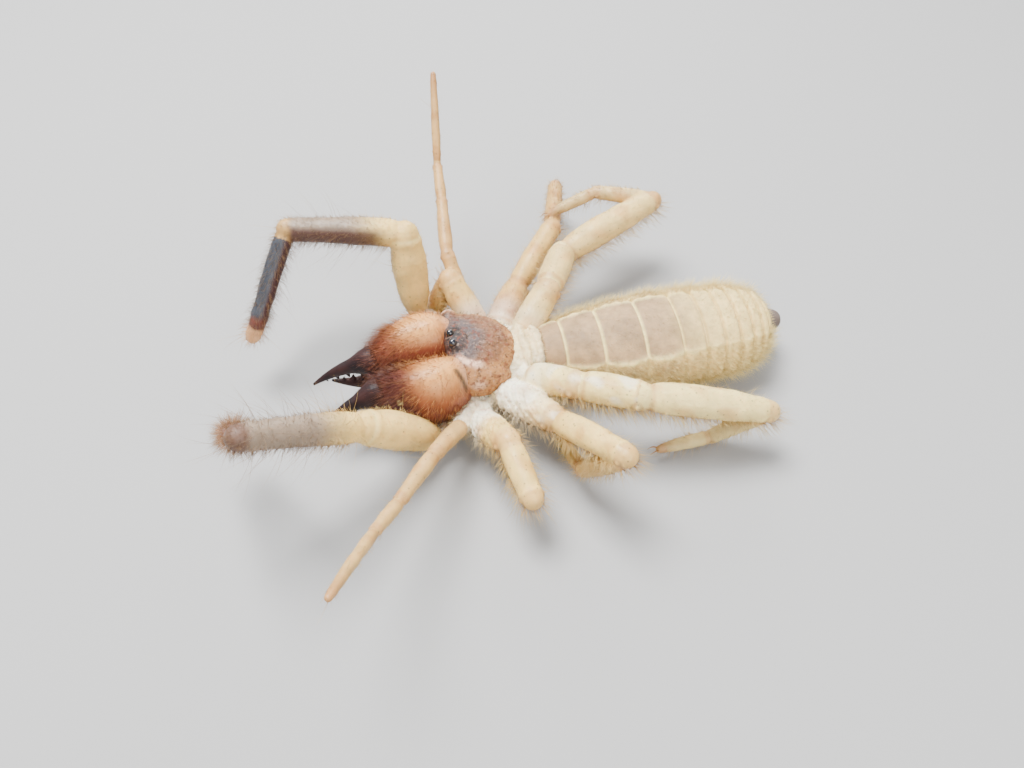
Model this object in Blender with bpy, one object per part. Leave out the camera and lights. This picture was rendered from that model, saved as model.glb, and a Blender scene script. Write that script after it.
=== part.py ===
"""Camel spider: a still, life-size model. Blender 4.5, metres, +Z up.

The head points to -X, the animal's right side is +Y and the belly rests on z = 0.
Sizes are written in millimetres. The last step scales every mesh to metres.
Every node is cut clear of the nodes made before it, so joints meet like ball and socket.
"""
import math
import random

import bmesh
import bpy
from mathutils import Matrix, Vector

SEED = 11
MM = 0.001
GAP = 0.28
EYE_GAP = 0.12
LIMB_SIDES = 10
UP = Vector((0.0, 0.0, 1.0))

# Body axes: where each starts, and which way it runs in degrees from +X
HEAD_ORIGIN = Vector((0.0, 0.1, 0.0))
HEAD_HEADING = 195.0
ABDOMEN_ORIGIN = Vector((2.6, 0.6, 0.0))
ABDOMEN_HEADING = 10.8

# Abdomen: segment lengths from the waist to the rear, then its round end
SEGMENT_LENGTHS = (2.5, 3.8, 4.2, 3.8, 2.4, 2.0, 1.7, 1.5, 1.2, 1.0)
ABDOMEN_END = 1.2
ABDOMEN_SIDES = 28
ABDOMEN_HALF_WIDTH = 5.8
ABDOMEN_TOP = 8.4
FOLD_DEPTH = 0.22
TERGITE_HEIGHT = 0.2
TERGITE_HALF_ANGLE = 52.0

# Chelicerae: one bulb each side of the midline, then two toothed fingers
BULB_LENGTH = 9.6
BULB_HALF_WIDTH = 2.95
BULB_START = 4.9
MIDLINE_GAP = 0.3
FINGER_HEADING = 197.0
FINGER_LENGTH = 6.2
FINGER_RADIUS = 1.05
TEETH = 5

# Limbs: segment lengths shared by both sides, and bare radii at start, middle and end
LIMBS = {
    "palp": (
        ("femur", 9.5, (1.15, 1.75, 1.95, 1.6)),
        ("tibia", 11.7, (1.5, 1.5, 1.35, 1.2)),
        ("metatarsus", 9.7, (1.0, 1.0, 0.95, 0.9)),
        ("tarsus", 2.2, (0.88, 0.88, 0.88, 0.8)),
    ),
    "leg_1": (
        ("femur", 5.9, (0.95, 0.92, 0.86, 0.8)),
        ("patella", 6.9, (0.8, 0.8, 0.72, 0.66)),
        ("tibia", 4.4, (0.64, 0.66, 0.62, 0.56)),
        ("tarsus", 10.0, (0.54, 0.54, 0.47, 0.4)),
    ),
    "leg_2": (
        ("trochanter", 6.6, (1.35, 1.55, 1.5, 1.3)),
        ("femur", 5.9, (1.15, 1.25, 1.2, 1.1)),
        ("tibia", 6.1, (0.9, 0.95, 0.9, 0.75)),
        ("tarsus", 2.3, (0.7, 0.68, 0.62, 0.5)),
    ),
    "leg_3": (
        ("trochanter", 7.0, (1.6, 1.75, 1.7, 1.4)),
        ("femur", 9.3, (1.2, 1.35, 1.3, 1.15)),
        ("tibia", 7.5, (1.0, 1.05, 1.0, 0.85)),
        ("tarsus", 5.8, (0.75, 0.75, 0.68, 0.5)),
    ),
    "leg_4": (
        ("trochanter", 6.0, (1.4, 1.65, 1.6, 1.45)),
        ("femur", 6.1, (1.45, 1.6, 1.6, 1.5)),
        ("tibia", 12.8, (1.4, 1.65, 1.6, 1.2)),
        ("metatarsus", 6.6, (1.0, 1.0, 0.92, 0.8)),
        ("tarsus", 5.7, (0.75, 0.75, 0.68, 0.5)),
    ),
}

# Pose: the hip, then each segment's heading from +X and pitch above level, in degrees
POSES = {
    "palp_right": ((-10.4, 6.8, 3.6), ((102, 71), (185, 7), (246, -39), (200, -60))),
    "palp_left": ((-7.2, -8.6, 2.6), ((207, 44), (215, 35), (128, -48), (128, -46))),
    "leg_1_right": ((-5.1, 7.1, 4.7), ((116, 42), (97, 16), (98, 20), (93, 42))),
    "leg_1_left": ((-4.9, -8.2, 4.2), ((247, 27), (249, 20), (250, 27), (261, 39))),
    "leg_2_right": ((-3.4, 4.4, 3.4), ((130, 39), (170, -68), (115, -10), (112, -15))),
    "leg_2_left": ((-3.4, -6.9, 3.2), ((303, 31), (292, -9), (107, -38), (115, -35))),
    "leg_3_right": ((-1.4, 3.6, 4.4), ((75, -3), (62, 13), (85, 0), (91, -70))),
    "leg_3_left": ((-1.0, -4.2, 4.6), ((317, 14), (313, 22), (143, -57), (107, -30))),
    "leg_4_right": ((0.9, 2.2, 5.2), ((58, 24), (73, -4), (34, 7), (172, 4), (194, -22))),
    "leg_4_left": ((1.6, -3.0, 5.2), ((329, 24), (344, 4), (0, -11), (179, -45), (198, 5))),
}
CLAWED = ("leg_2", "leg_3", "leg_4")
MALLEOLUS_SHARES = (0.12, 0.3, 0.48, 0.66)

# Coxae: where each limb's base leaves the belly, fused to the prosoma
COXA_ROOTS = {
    "palp_right": ((-3.5, 1.6, 2.4), (-7.4, 5.6, 2.3), 1.35),
    "palp_left": ((-3.0, -2.4, 2.4), (-5.0, -6.2, 2.3), 1.35),
    "leg_1_right": ((-2.6, 1.6, 3.2), (-4.2, 4.9, 3.9), 1.15),
    "leg_1_left": ((-2.4, -2.6, 3.2), (-3.9, -5.6, 3.6), 1.15),
    "leg_2_right": ((-1.4, 1.4, 3.2), (-2.4, 2.9, 3.3), 1.5),
    "leg_2_left": ((-1.2, -2.2, 3.2), (-2.8, -5.2, 3.1), 1.5),
    "leg_3_right": ((-0.4, 1.2, 3.4), (-0.9, 2.4, 3.9), 1.7),
    "leg_3_left": ((0.0, -2.0, 3.4), (-0.5, -3.1, 4.0), 1.75),
    "leg_4_right": ((0.6, 0.4, 3.8), (0.8, 1.3, 4.5), 1.6),
    "leg_4_left": ((1.0, -1.2, 3.8), (1.3, -2.1, 4.5), 1.6),
}

# Colours by region: base colour and roughness
PAINTS = {
    "cream": ((0.72, 0.56, 0.34), 0.5),
    "chalk": ((0.83, 0.77, 0.66), 0.7),
    "straw": ((0.62, 0.5, 0.3), 0.65),
    "plate": ((0.2, 0.14, 0.13), 0.5),
    "rust": ((0.58, 0.24, 0.1), 0.55),
    "slate": ((0.2, 0.17, 0.18), 0.45),
    "maroon": ((0.035, 0.012, 0.016), 0.2),
    "black": ((0.01, 0.01, 0.012), 0.08),
    "umber": ((0.16, 0.12, 0.09), 0.6),
}
PALP_PAINTS = {"femur": "cream", "tibia": "slate", "metatarsus": "slate", "tarsus": "rust"}


def clear_scene():
    for thing in list(bpy.data.objects):
        bpy.data.objects.remove(thing, do_unlink=True)


def heading_vector(heading, pitch=0.0):
    turn = math.radians(heading)
    lift = math.radians(pitch)
    return Vector((math.cos(turn) * math.cos(lift), math.sin(turn) * math.cos(lift), math.sin(lift)))


def loft(rings, first, last):
    """One closed mesh object through rings of equal count, closed by a point at each end."""
    mesh = bmesh.new()
    rows = [[mesh.verts.new(point) for point in ring] for ring in rings]
    count = len(rows[0])
    for near, far in zip(rows, rows[1:]):
        for i in range(count):
            j = (i + 1) % count
            mesh.faces.new((near[i], near[j], far[j], far[i]))
    start = mesh.verts.new(first)
    end = mesh.verts.new(last)
    for i in range(count):
        j = (i + 1) % count
        mesh.faces.new((rows[0][j], rows[0][i], start))
        mesh.faces.new((rows[-1][i], rows[-1][j], end))
    bmesh.ops.recalc_face_normals(mesh, faces=mesh.faces)
    data = bpy.data.meshes.new("piece")
    mesh.to_mesh(data)
    mesh.free()
    piece = bpy.data.objects.new("piece", data)
    bpy.context.scene.collection.objects.link(piece)
    return piece


def sweep(centres, radii, sides=8, margin=0.0, flat=1.0):
    """A round tube along a path. The first and last centres are its tips."""
    rings = []
    for before, here, after, radius in zip(centres, centres[1:], centres[2:], radii):
        along = (after - before).normalized()
        side = along.cross(UP)
        side = side.normalized() if side.length > 0.05 else Vector((1.0, 0.0, 0.0))
        over = side.cross(along)
        ring = []
        for i in range(sides):
            angle = 2.0 * math.pi * (i + 0.5) / sides
            wide = (radius + margin) * math.cos(angle)
            high = (radius * flat + margin) * math.sin(angle)
            ring.append(here + side * wide + over * high)
        rings.append(ring)
    first = centres[0] + (centres[0] - centres[1]).normalized() * margin
    last = centres[-1] + (centres[-1] - centres[-2]).normalized() * margin
    return loft(rings, first, last)


def limb(start, end, radii, sides=LIMB_SIDES, margin=0.0):
    """A limb segment with a round knuckle centred on the joint at each end."""
    start = Vector(start)
    end = Vector(end)
    along = (end - start).normalized()
    centres = [start - along * radii[0] * 0.9]
    widths = []
    for angle in (58.0, 22.0):
        centres.append(start - along * radii[0] * 0.9 * math.sin(math.radians(angle)))
        widths.append(radii[0] * math.cos(math.radians(angle)))
    for i, radius in enumerate(radii[1:-1]):
        centres.append(start.lerp(end, (i + 1.0) / (len(radii) - 1.0)))
        widths.append(radius)
    for angle in (-8.0, 25.0, 58.0):
        centres.append(end + along * radii[-1] * 0.9 * math.sin(math.radians(angle)))
        widths.append(radii[-1] * math.cos(math.radians(angle)))
    centres.append(end + along * radii[-1] * 0.9)
    return sweep(centres, widths, sides, margin)


def section(centre, aside, half_width, top, bottom, sides, margin=0.0, square=2.0):
    """An upright ring through a body: a full curve between its top and bottom heights."""
    middle = (top + bottom) / 2.0
    half_height = (top - bottom) / 2.0 + margin
    ring = []
    for i in range(sides):
        angle = 2.0 * math.pi * (i + 0.5) / sides
        cosine = math.cos(angle)
        sine = math.sin(angle)
        wide = math.copysign(abs(cosine) ** (2.0 / square), cosine) * (half_width + margin)
        high = math.copysign(abs(sine) ** (2.0 / square), sine) * half_height
        ring.append(Vector((centre.x, centre.y, middle + high)) + aside * wide)
    return ring


def body(origin, heading, stations, sides=16, margin=0.0, square=2.0, inner=None):
    """A body form along a level axis. Stations are (distance, half width, top, bottom).

    With inner given, every ring's near edge stays that far to one side of the axis.
    """
    along = heading_vector(heading)
    aside = Vector((along.y, -along.x, 0.0))
    rings = []
    for distance, half_width, top, bottom in stations[1:-1]:
        centre = origin + along * distance
        if inner is not None:
            centre = centre + aside * (inner + math.copysign(half_width, inner))
        rings.append(section(centre, aside, half_width, top, bottom, sides, margin, square))
    tips = []
    for (distance, half_width, top, bottom), sign in ((stations[0], -1.0), (stations[-1], 1.0)):
        tip = origin + along * (distance + sign * margin)
        if inner is not None:
            tip = tip + aside * (inner + math.copysign(half_width, inner))
        tips.append(Vector((tip.x, tip.y, (top + bottom) / 2.0)))
    return loft(rings, tips[0], tips[1])


def ball(centre, radii, sides=12, rings=7, heading=0.0, margin=0.0):
    along = heading_vector(heading)
    aside = Vector((along.y, -along.x, 0.0))
    centre = Vector(centre)
    length, width, height = (radius + margin for radius in radii)
    rows = []
    for i in range(1, rings):
        angle = math.pi * i / rings
        middle = centre - along * length * math.cos(angle)
        row = []
        for k in range(sides):
            turn = 2.0 * math.pi * (k + 0.5) / sides
            wide = aside * width * math.sin(angle) * math.cos(turn)
            row.append(middle + wide + UP * height * math.sin(angle) * math.sin(turn))
        rows.append(row)
    return loft(rows, centre - along * length, centre + along * length)


def take_result(target):
    """Applies the Boolean that the target carries."""
    graph = bpy.context.evaluated_depsgraph_get()
    graph.update()
    result = bpy.data.meshes.new_from_object(target.evaluated_get(graph))
    target.modifiers.clear()
    target.data = result


def cut(target, tool):
    boolean = target.modifiers.new("cut", "BOOLEAN")
    boolean.operation = "DIFFERENCE"
    boolean.object = tool
    take_result(target)
    bpy.data.objects.remove(tool, do_unlink=True)


def fuse(pieces):
    """Joins overlapping closed pieces into the first one."""
    base = pieces[0]
    if len(pieces) == 1:
        return base
    group = bpy.data.collections.new("to_fuse")
    bpy.context.scene.collection.children.link(group)
    for piece in pieces[1:]:
        group.objects.link(piece)
    boolean = base.modifiers.new("fuse", "BOOLEAN")
    boolean.operation = "UNION"
    boolean.operand_type = "COLLECTION"
    boolean.collection = group
    take_result(base)
    for piece in pieces[1:]:
        bpy.data.objects.remove(piece, do_unlink=True)
    bpy.data.collections.remove(group)
    return base


def keep_largest(target):
    """Drops every loose surface but the one with the most volume."""
    mesh = bmesh.new()
    mesh.from_mesh(target.data)
    bmesh.ops.remove_doubles(mesh, verts=mesh.verts, dist=1e-4)
    bmesh.ops.dissolve_degenerate(mesh, edges=mesh.edges, dist=1e-4)
    islands = []
    waiting = set(mesh.faces)
    while waiting:
        island = set()
        front = [next(iter(waiting))]
        while front:
            face = front.pop()
            if face in island:
                continue
            island.add(face)
            for edge in face.edges:
                front.extend(other for other in edge.link_faces if other not in island)
        waiting -= island
        islands.append(island)
    if len(islands) > 1:
        sizes = [sum(abs(volume_of(face)) for face in island) for island in islands]
        largest = islands[sizes.index(max(sizes))]
        doomed = [face for face in mesh.faces if face not in largest]
        bmesh.ops.delete(mesh, geom=doomed, context="FACES")
        loose = [vert for vert in mesh.verts if not vert.link_faces]
        bmesh.ops.delete(mesh, geom=loose, context="VERTS")
    bmesh.ops.triangulate(mesh, faces=mesh.faces)
    mesh.to_mesh(target.data)
    mesh.free()


def volume_of(face):
    """The size of a face, which ranks a closed surface well enough."""
    return face.calc_area()


def bounds(thing):
    corners = [vert.co for vert in thing.data.vertices]
    low = Vector([min(corner[i] for corner in corners) for i in range(3)])
    high = Vector([max(corner[i] for corner in corners) for i in range(3)])
    return low, high


def touch(first, second):
    return all(first[0][i] < second[1][i] and second[0][i] < first[1][i] for i in range(3))


def floor_block():
    """All that lies under the floor, which leaves small flats on what rests there."""
    bpy.ops.mesh.primitive_cube_add(size=1.0, location=(0.0, 0.0, -5.0))
    block = bpy.context.object
    block.data.transform(Matrix.Translation((0.0, 0.0, -5.0)) @ Matrix.Diagonal((90.0, 90.0, 10.0, 1.0)))
    block.location = (0.0, 0.0, 0.0)
    return block


class Model:
    """The nodes made so far, with the functions that draw each one's pieces."""

    def __init__(self):
        self.nodes = {}
        self.materials = {}

    def material(self, paint):
        if paint not in self.materials:
            colour, roughness = PAINTS[paint]
            made = bpy.data.materials.new(paint)
            made.use_nodes = True
            shader = made.node_tree.nodes["Principled BSDF"]
            shader.inputs["Base Color"].default_value = (*colour, 1.0)
            shader.inputs["Roughness"].default_value = roughness
            made.diffuse_color = (*colour, 1.0)
            self.materials[paint] = made
        return self.materials[paint]

    def add(self, name, paint, pieces, trim=(), gap=GAP):
        """Makes a node from drawing functions, each of which takes a margin."""
        node = fuse([draw(0.0) for draw in (*pieces, *trim)])
        extent = bounds(node)
        for draws in reversed(list(self.nodes.values())):
            for draw in draws[1]:
                tool = draw(gap)
                if touch(extent, bounds(tool)):
                    cut(node, tool)
                else:
                    bpy.data.objects.remove(tool, do_unlink=True)
        if extent[0].z < 0.0:
            cut(node, floor_block())
        keep_largest(node)
        node.name = name
        node.data.name = name
        node.data.materials.clear()
        node.data.materials.append(self.material(paint).copy())
        node.data.materials[0].name = name
        self.nodes[name] = (node, pieces)
        return node


def head_point(distance, aside, height):
    along = heading_vector(HEAD_HEADING)
    right = Vector((along.y, -along.x, 0.0))
    return HEAD_ORIGIN + along * distance + right * aside + UP * height


def propeltidium_pieces():
    stations = (
        (-0.3, 0.0, 7.4, 6.0),
        (0.1, 1.7, 7.6, 5.6),
        (1.3, 3.0, 8.2, 4.9),
        (3.0, 3.9, 8.7, 4.5),
        (4.8, 4.2, 9.0, 4.4),
        (5.9, 4.1, 8.9, 4.5),
        (6.5, 3.6, 8.6, 5.0),
        (6.8, 0.0, 7.8, 5.8),
    )
    tubercle = head_point(5.75, 0.0, 8.85)
    pieces = [
        lambda margin: body(HEAD_ORIGIN, HEAD_HEADING, stations, 18, margin),
        lambda margin: ball(tubercle, (0.95, 1.25, 0.75), 12, 6, HEAD_HEADING, margin),
    ]
    for side in (1.0, -1.0):
        lobe = head_point(3.7, side * 3.1, 5.9)
        pieces.append(
            lambda margin, lobe=lobe: ball(lobe, (2.9, 1.5, 2.0), 12, 7, HEAD_HEADING, margin)
        )
    return pieces


def peltidium_pieces(start, length, half_width, top):
    stations = (
        (-start - length, 0.0, top - 0.4, top - 1.4),
        (-start - length + 0.25, half_width * 0.9, top - 0.2, top - 3.0),
        (-start - length / 2.0, half_width, top, top - 3.2),
        (-start - 0.2, half_width * 0.92, top - 0.25, top - 3.0),
        (-start, 0.0, top - 0.5, top - 1.4),
    )
    return [lambda margin: body(HEAD_ORIGIN, HEAD_HEADING, stations, 14, margin)]


def abdomen_rings(margin):
    """Rings at each segment: a fold, then the segment's full girth with its raised back plate."""
    along = heading_vector(ABDOMEN_HEADING)
    aside = Vector((along.y, -along.x, 0.0))
    total = sum(SEGMENT_LENGTHS)
    rings = []
    start = 0.0
    for length in SEGMENT_LENGTHS:
        for share, rise in ((0.08, 0.0), (0.22, 1.0), (0.8, 1.0)):
            distance = start + length * share
            part = distance / (total + ABDOMEN_END)
            swell = math.sin(math.pi * min(1.0, 0.13 + 0.62 * part)) ** 0.75
            taper = 1.0 - max(0.0, (part - 0.8) / 0.2) ** 2 * 0.4
            girth = swell * taper
            half_width = ABDOMEN_HALF_WIDTH * girth - FOLD_DEPTH * (1.0 - rise) + margin
            half_height = (ABDOMEN_TOP + 0.25) / 2.0 * (0.35 + 0.65 * girth) + margin
            half_height -= FOLD_DEPTH * (1.0 - rise)
            middle = (ABDOMEN_TOP - 0.25) / 2.0 + 0.35 * (1.0 - girth)
            centre = ABDOMEN_ORIGIN + along * distance
            ring = []
            for i in range(ABDOMEN_SIDES):
                angle = 2.0 * math.pi * (i + 0.5) / ABDOMEN_SIDES
                from_top = abs(math.degrees(angle) - 90.0)
                plate = TERGITE_HEIGHT * rise if from_top < TERGITE_HALF_ANGLE else 0.0
                wide = (half_width + plate) * math.cos(angle)
                high = (half_height + plate) * math.sin(angle)
                ring.append(Vector((centre.x, centre.y, middle + high)) + aside * wide)
            rings.append(ring)
        start += length
    return rings


def abdomen_piece(margin):
    along = heading_vector(ABDOMEN_HEADING)
    total = sum(SEGMENT_LENGTHS) + ABDOMEN_END
    rings = abdomen_rings(margin)
    first = ABDOMEN_ORIGIN - along * (0.3 + margin) + UP * 4.3
    last = ABDOMEN_ORIGIN + along * (total + margin) + UP * 4.4
    tail = []
    for corner in rings[-1]:
        tail.append(last + (corner - last - along * (corner - last).dot(along)) * 0.7 - along * 0.4)
    return loft([*rings, tail], first, last)


def bulb_piece(side, margin):
    """The bulbs lie against each other along the midline and narrow towards the fingers."""
    stations = (
        (-0.05, 0.45, 6.8, 4.4),
        (0.0, 0.62, 8.0, 3.2),
        (0.15, 0.88, 9.0, 2.2),
        (0.36, 1.0, 9.4, 1.6),
        (0.58, 0.98, 9.1, 1.4),
        (0.78, 0.84, 8.3, 1.6),
        (0.92, 0.64, 7.3, 2.2),
        (1.0, 0.44, 6.4, 3.1),
        (1.03, 0.44, 5.6, 4.1),
    )
    scaled = []
    for share, width, top, bottom in stations:
        distance = BULB_START + BULB_LENGTH * share
        scaled.append((distance, BULB_HALF_WIDTH * width, top, bottom))
    return body(HEAD_ORIGIN, HEAD_HEADING, scaled, 18, margin, 2.2, side * MIDLINE_GAP / 2.0)


def finger_path(side, lower, count=8):
    """The upper finger curves down to its tip and the lower one curves up to meet it."""
    share = 0.74 if lower else 0.82
    start = head_point(BULB_START + BULB_LENGTH * share, side * 1.9, 3.0 if lower else 6.0)
    along = heading_vector(FINGER_HEADING)
    right = Vector((along.y, -along.x, 0.0))
    length = FINGER_LENGTH + (0.2 if lower else 1.3)
    splay = side * 0.9
    points = []
    for i in range(count):
        share = i / (count - 1.0)
        if lower:
            height = -0.9 * math.sin(math.pi * share * 0.8) + 1.1 * share
        else:
            height = 0.5 * math.sin(math.pi * share * 0.7) - 2.6 * share ** 2
        points.append(start + along * length * share + right * splay * share + UP * height)
    return points


def finger_piece(side, lower, margin):
    path = finger_path(side, lower)
    count = len(path)
    radii = []
    for i in range(1, count - 1):
        share = i / (count - 1.0)
        radii.append(FINGER_RADIUS * (1.0 - 0.82 * share ** 1.3) * (1.05 if lower else 1.0))
    return sweep(path, radii, 9, margin, 1.15)


def tooth_pieces(side, lower):
    """Teeth along the facing edges, tallest in the middle of the row."""
    path = finger_path(side, lower, 25)
    pieces = []
    for i in range(TEETH):
        share = 0.34 + 0.42 * i / (TEETH - 1.0)
        here = path[round(share * 24)]
        tall = (0.95, 1.25, 0.85, 1.1, 0.7)[i]
        facing = UP if lower else -UP
        lean = heading_vector(FINGER_HEADING + 180.0) * 0.15
        root = here + facing * FINGER_RADIUS * (1.0 - 0.82 * share ** 1.3) * 0.35
        tip = root + (facing + lean) * tall
        path_up = [root - facing * 0.1, root, root.lerp(tip, 0.55), tip]
        pieces.append(lambda margin, line=path_up: sweep(line, (0.3, 0.2), 5, margin))
    return pieces


def joints_of(name):
    """The joint centres along a limb, from its hip to its tip."""
    hip, angles = POSES[name]
    kind = name.rsplit("_", 1)[0]
    points = [Vector(hip)]
    for (_, length, _), (heading, pitch) in zip(LIMBS[kind], angles):
        points.append(points[-1] + heading_vector(heading, pitch) * length)
    return points


def claw_pieces(ankle, toe):
    """Two slim claws that curve down from the tip of a walking leg."""
    along = (toe - ankle).normalized()
    side = along.cross(UP).normalized()
    pieces = []
    for sign in (1.0, -1.0):
        root = toe - along * 0.15 + side * sign * 0.16
        middle = toe + along * 0.75 + side * sign * 0.45 + UP * 0.2
        tip = toe + along * 1.5 + side * sign * 0.5 - UP * 0.12
        line = [root - along * 0.1, root, middle, tip]
        pieces.append(lambda margin, line=line: sweep(line, (0.25, 0.16), 5, margin))
    return pieces


def malleolus_pieces(start, end, shares):
    """Small stalked fans that hang in a row under the base of each hind leg."""
    along = (end - start).normalized()
    pieces = []
    for share in shares:
        root = start.lerp(end, share) - UP * 1.0
        hang = (-UP * 0.92 + along * 0.25).normalized()
        line = [root, root + hang * 0.2, root + hang * 1.3, root + hang * 1.9, root + hang * 2.15]
        pieces.append(lambda margin, line=line: sweep(line, (0.26, 0.3, 0.62), 6, margin, 0.45))
    return pieces


def build_limb(model, name):
    kind = name.rsplit("_", 1)[0]
    joints = joints_of(name)
    for (part, _, radii), start, end in zip(LIMBS[kind], joints, joints[1:]):
        pieces = [
            lambda margin, start=start, end=end, radii=radii: limb(start, end, radii, margin=margin)
        ]
        trim = []
        if part == "tarsus" and kind in CLAWED:
            trim = claw_pieces(start, end)
        if part == "trochanter" and kind == "leg_4":
            trim = malleolus_pieces(start, end, MALLEOLUS_SHARES)
        paint = "cream"
        if kind == "palp":
            paint = PALP_PAINTS[part]
        elif part == "trochanter":
            paint = "chalk"
        elif part == "tarsus":
            paint = "straw"
        model.add(f"{name}_{part}", paint, pieces, trim)


def prosoma_pieces():
    stations = (
        (-3.4, 0.0, 5.4, 3.0),
        (-3.1, 1.7, 6.4, 2.0),
        (-2.0, 2.9, 7.0, 0.5),
        (-0.2, 3.7, 7.3, -0.1),
        (2.2, 4.1, 7.4, -0.15),
        (4.4, 3.9, 7.2, 0.2),
        (6.0, 3.0, 6.4, 0.9),
        (6.8, 0.0, 4.6, 1.8),
    )
    pieces = [lambda margin: body(HEAD_ORIGIN, HEAD_HEADING, stations, 20, margin)]
    for name, (root, bend, radius) in COXA_ROOTS.items():
        hip = Vector(POSES[name][0])
        root = Vector(root)
        bend = Vector(bend)
        centres = [root - (bend - root) * 0.3, root, bend, hip, hip + (hip - bend).normalized() * radius * 0.6]
        radii = (radius, radius * 1.05, radius * 0.8)
        pieces.append(
            lambda margin, centres=centres, radii=radii: sweep(centres, radii, LIMB_SIDES, margin)
        )
    return pieces


def build_head(model):
    for side, label in ((1.0, "right"), (-1.0, "left")):
        eye = head_point(6.1, side * 0.62, 9.4)
        model.add(f"eye_{label}", "black", [lambda margin, eye=eye: ball(eye, (0.46,) * 3, 10, 6, 0.0, margin)])
    model.add("propeltidium", "plate", propeltidium_pieces(), gap=EYE_GAP)
    model.add("mesopeltidium", "chalk", peltidium_pieces(0.55, 1.0, 3.1, 7.7))
    model.add("metapeltidium", "chalk", peltidium_pieces(1.85, 1.1, 2.7, 7.4))
    for side, label in ((1.0, "right"), (-1.0, "left")):
        model.add(
            f"movable_finger_{label}",
            "maroon",
            [lambda margin, side=side: finger_piece(side, True, margin)],
            tooth_pieces(side, True),
        )
    for side, label in ((1.0, "right"), (-1.0, "left")):
        model.add(
            f"chelicera_{label}",
            "rust",
            [
                lambda margin, side=side: bulb_piece(side, margin),
                lambda margin, side=side: finger_piece(side, False, margin),
            ],
            tooth_pieces(side, False),
        )
    beak = [head_point(5.6, 0.0, 1.9), head_point(6.4, 0.0, 1.9)]
    beak += [head_point(8.4, 0.0, 1.6), head_point(10.4, 0.0, 1.1), head_point(10.8, 0.0, 1.0)]
    model.add("rostrum", "umber", [lambda margin: sweep(beak, (0.9, 0.75, 0.4), 8, margin)])


def build_trunk(model):
    model.add("abdomen", "straw", [abdomen_piece])
    tail = ABDOMEN_ORIGIN + heading_vector(ABDOMEN_HEADING) * (sum(SEGMENT_LENGTHS) + ABDOMEN_END + 0.2)
    tail = tail + UP * 4.4
    model.add("anal_segment", "umber", [lambda margin: ball(tail, (1.3, 1.25, 1.35), 12, 6, ABDOMEN_HEADING, margin)])
    model.add("prosoma", "chalk", prosoma_pieces())


def centre_on_origin(model):
    """Puts the middle of the model's bounding box over the origin, then scales to metres."""
    extents = [bounds(node) for node, _ in model.nodes.values()]
    low = Vector([min(extent[0][i] for extent in extents) for i in range(3)])
    high = Vector([max(extent[1][i] for extent in extents) for i in range(3)])
    shift = Vector((-(low.x + high.x) / 2.0, -(low.y + high.y) / 2.0, -low.z))
    for node, _ in model.nodes.values():
        node.data.transform(Matrix.Scale(MM, 4) @ Matrix.Translation(shift))
        node.data.shade_smooth()
        node.data.set_sharp_from_angle(angle=math.radians(40.0))
    print("size in mm", [round(edge, 1) for edge in high - low], "shift", [round(s, 2) for s in shift])


def main():
    random.seed(SEED)
    clear_scene()
    model = Model()
    build_head(model)
    build_trunk(model)
    for name in POSES:
        build_limb(model, name)
    centre_on_origin(model)


main()
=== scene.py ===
import math

import bpy
import numpy as np
from mathutils import Matrix, Vector


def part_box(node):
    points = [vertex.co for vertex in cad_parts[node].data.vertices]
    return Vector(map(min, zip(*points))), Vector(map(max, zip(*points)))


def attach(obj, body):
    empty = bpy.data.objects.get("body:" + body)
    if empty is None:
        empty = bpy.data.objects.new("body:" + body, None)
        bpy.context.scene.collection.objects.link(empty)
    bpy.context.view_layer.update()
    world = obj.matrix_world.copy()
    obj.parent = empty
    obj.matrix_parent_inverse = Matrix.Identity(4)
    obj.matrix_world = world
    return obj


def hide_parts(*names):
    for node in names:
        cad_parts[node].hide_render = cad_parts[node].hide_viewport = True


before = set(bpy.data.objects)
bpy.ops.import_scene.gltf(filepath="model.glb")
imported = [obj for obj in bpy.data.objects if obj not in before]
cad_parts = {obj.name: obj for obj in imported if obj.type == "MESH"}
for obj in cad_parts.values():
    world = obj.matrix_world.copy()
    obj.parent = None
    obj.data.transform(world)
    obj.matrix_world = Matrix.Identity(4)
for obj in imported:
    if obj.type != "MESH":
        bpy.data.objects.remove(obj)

MM = 0.001
UP = Vector((0.0, 0.0, 1.0))
RNG = np.random.default_rng(20)
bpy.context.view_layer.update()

# Body axes in the design's own millimetres, as the solids have them
HEAD_ORIGIN = Vector((0.0, 0.1, 0.0))
HEAD_HEADING = 195.0
ABDOMEN_ORIGIN = Vector((2.6, 0.6, 0.0))
ABDOMEN_HEADING = 10.8

# Eyes: distance ahead of the head's origin, half spacing, height and radius
EYE_AHEAD = 6.1
EYE_ASIDE = 0.62
EYE_HEIGHT = 9.4
EYE_RADIUS = 0.4

# Abdomen: segment lengths from the waist to the rear, then its round end
SEGMENT_LENGTHS = (2.5, 3.8, 4.2, 3.8, 2.4, 2.0, 1.7, 1.5, 1.2, 1.0)
ABDOMEN_END = 1.2
ABDOMEN_HALF_WIDTH = 5.8
ABDOMEN_TOP = 8.4
ABDOMEN_MIDDLE = 4.1
ABDOMEN_COAT = 0.45
ABDOMEN_ROLL = 13.0
TERGITE_HALF_ANGLE = 50.0

# Chelicerae: two swollen bulbs with fingers. The left one has a callus, placed ahead, aside and up.
BULB_START = 4.9
BULB_LENGTH = 9.6
BULB_HALF_WIDTH = 2.95
BULB_MIDDLE = 5.4
CALLUS = (12.3, -4.65, 6.95)
MIDLINE_GAP = 0.3
FINGER_HEADING = 197.0
FINGER_LENGTH = 6.2
FINGER_RADIUS = 1.05
FINGER_SWELL = 0.6
TEETH_HEIGHTS = (0.8, 1.1, 0.55, 1.25, 0.6, 1.0, 0.5, 0.65)

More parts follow.
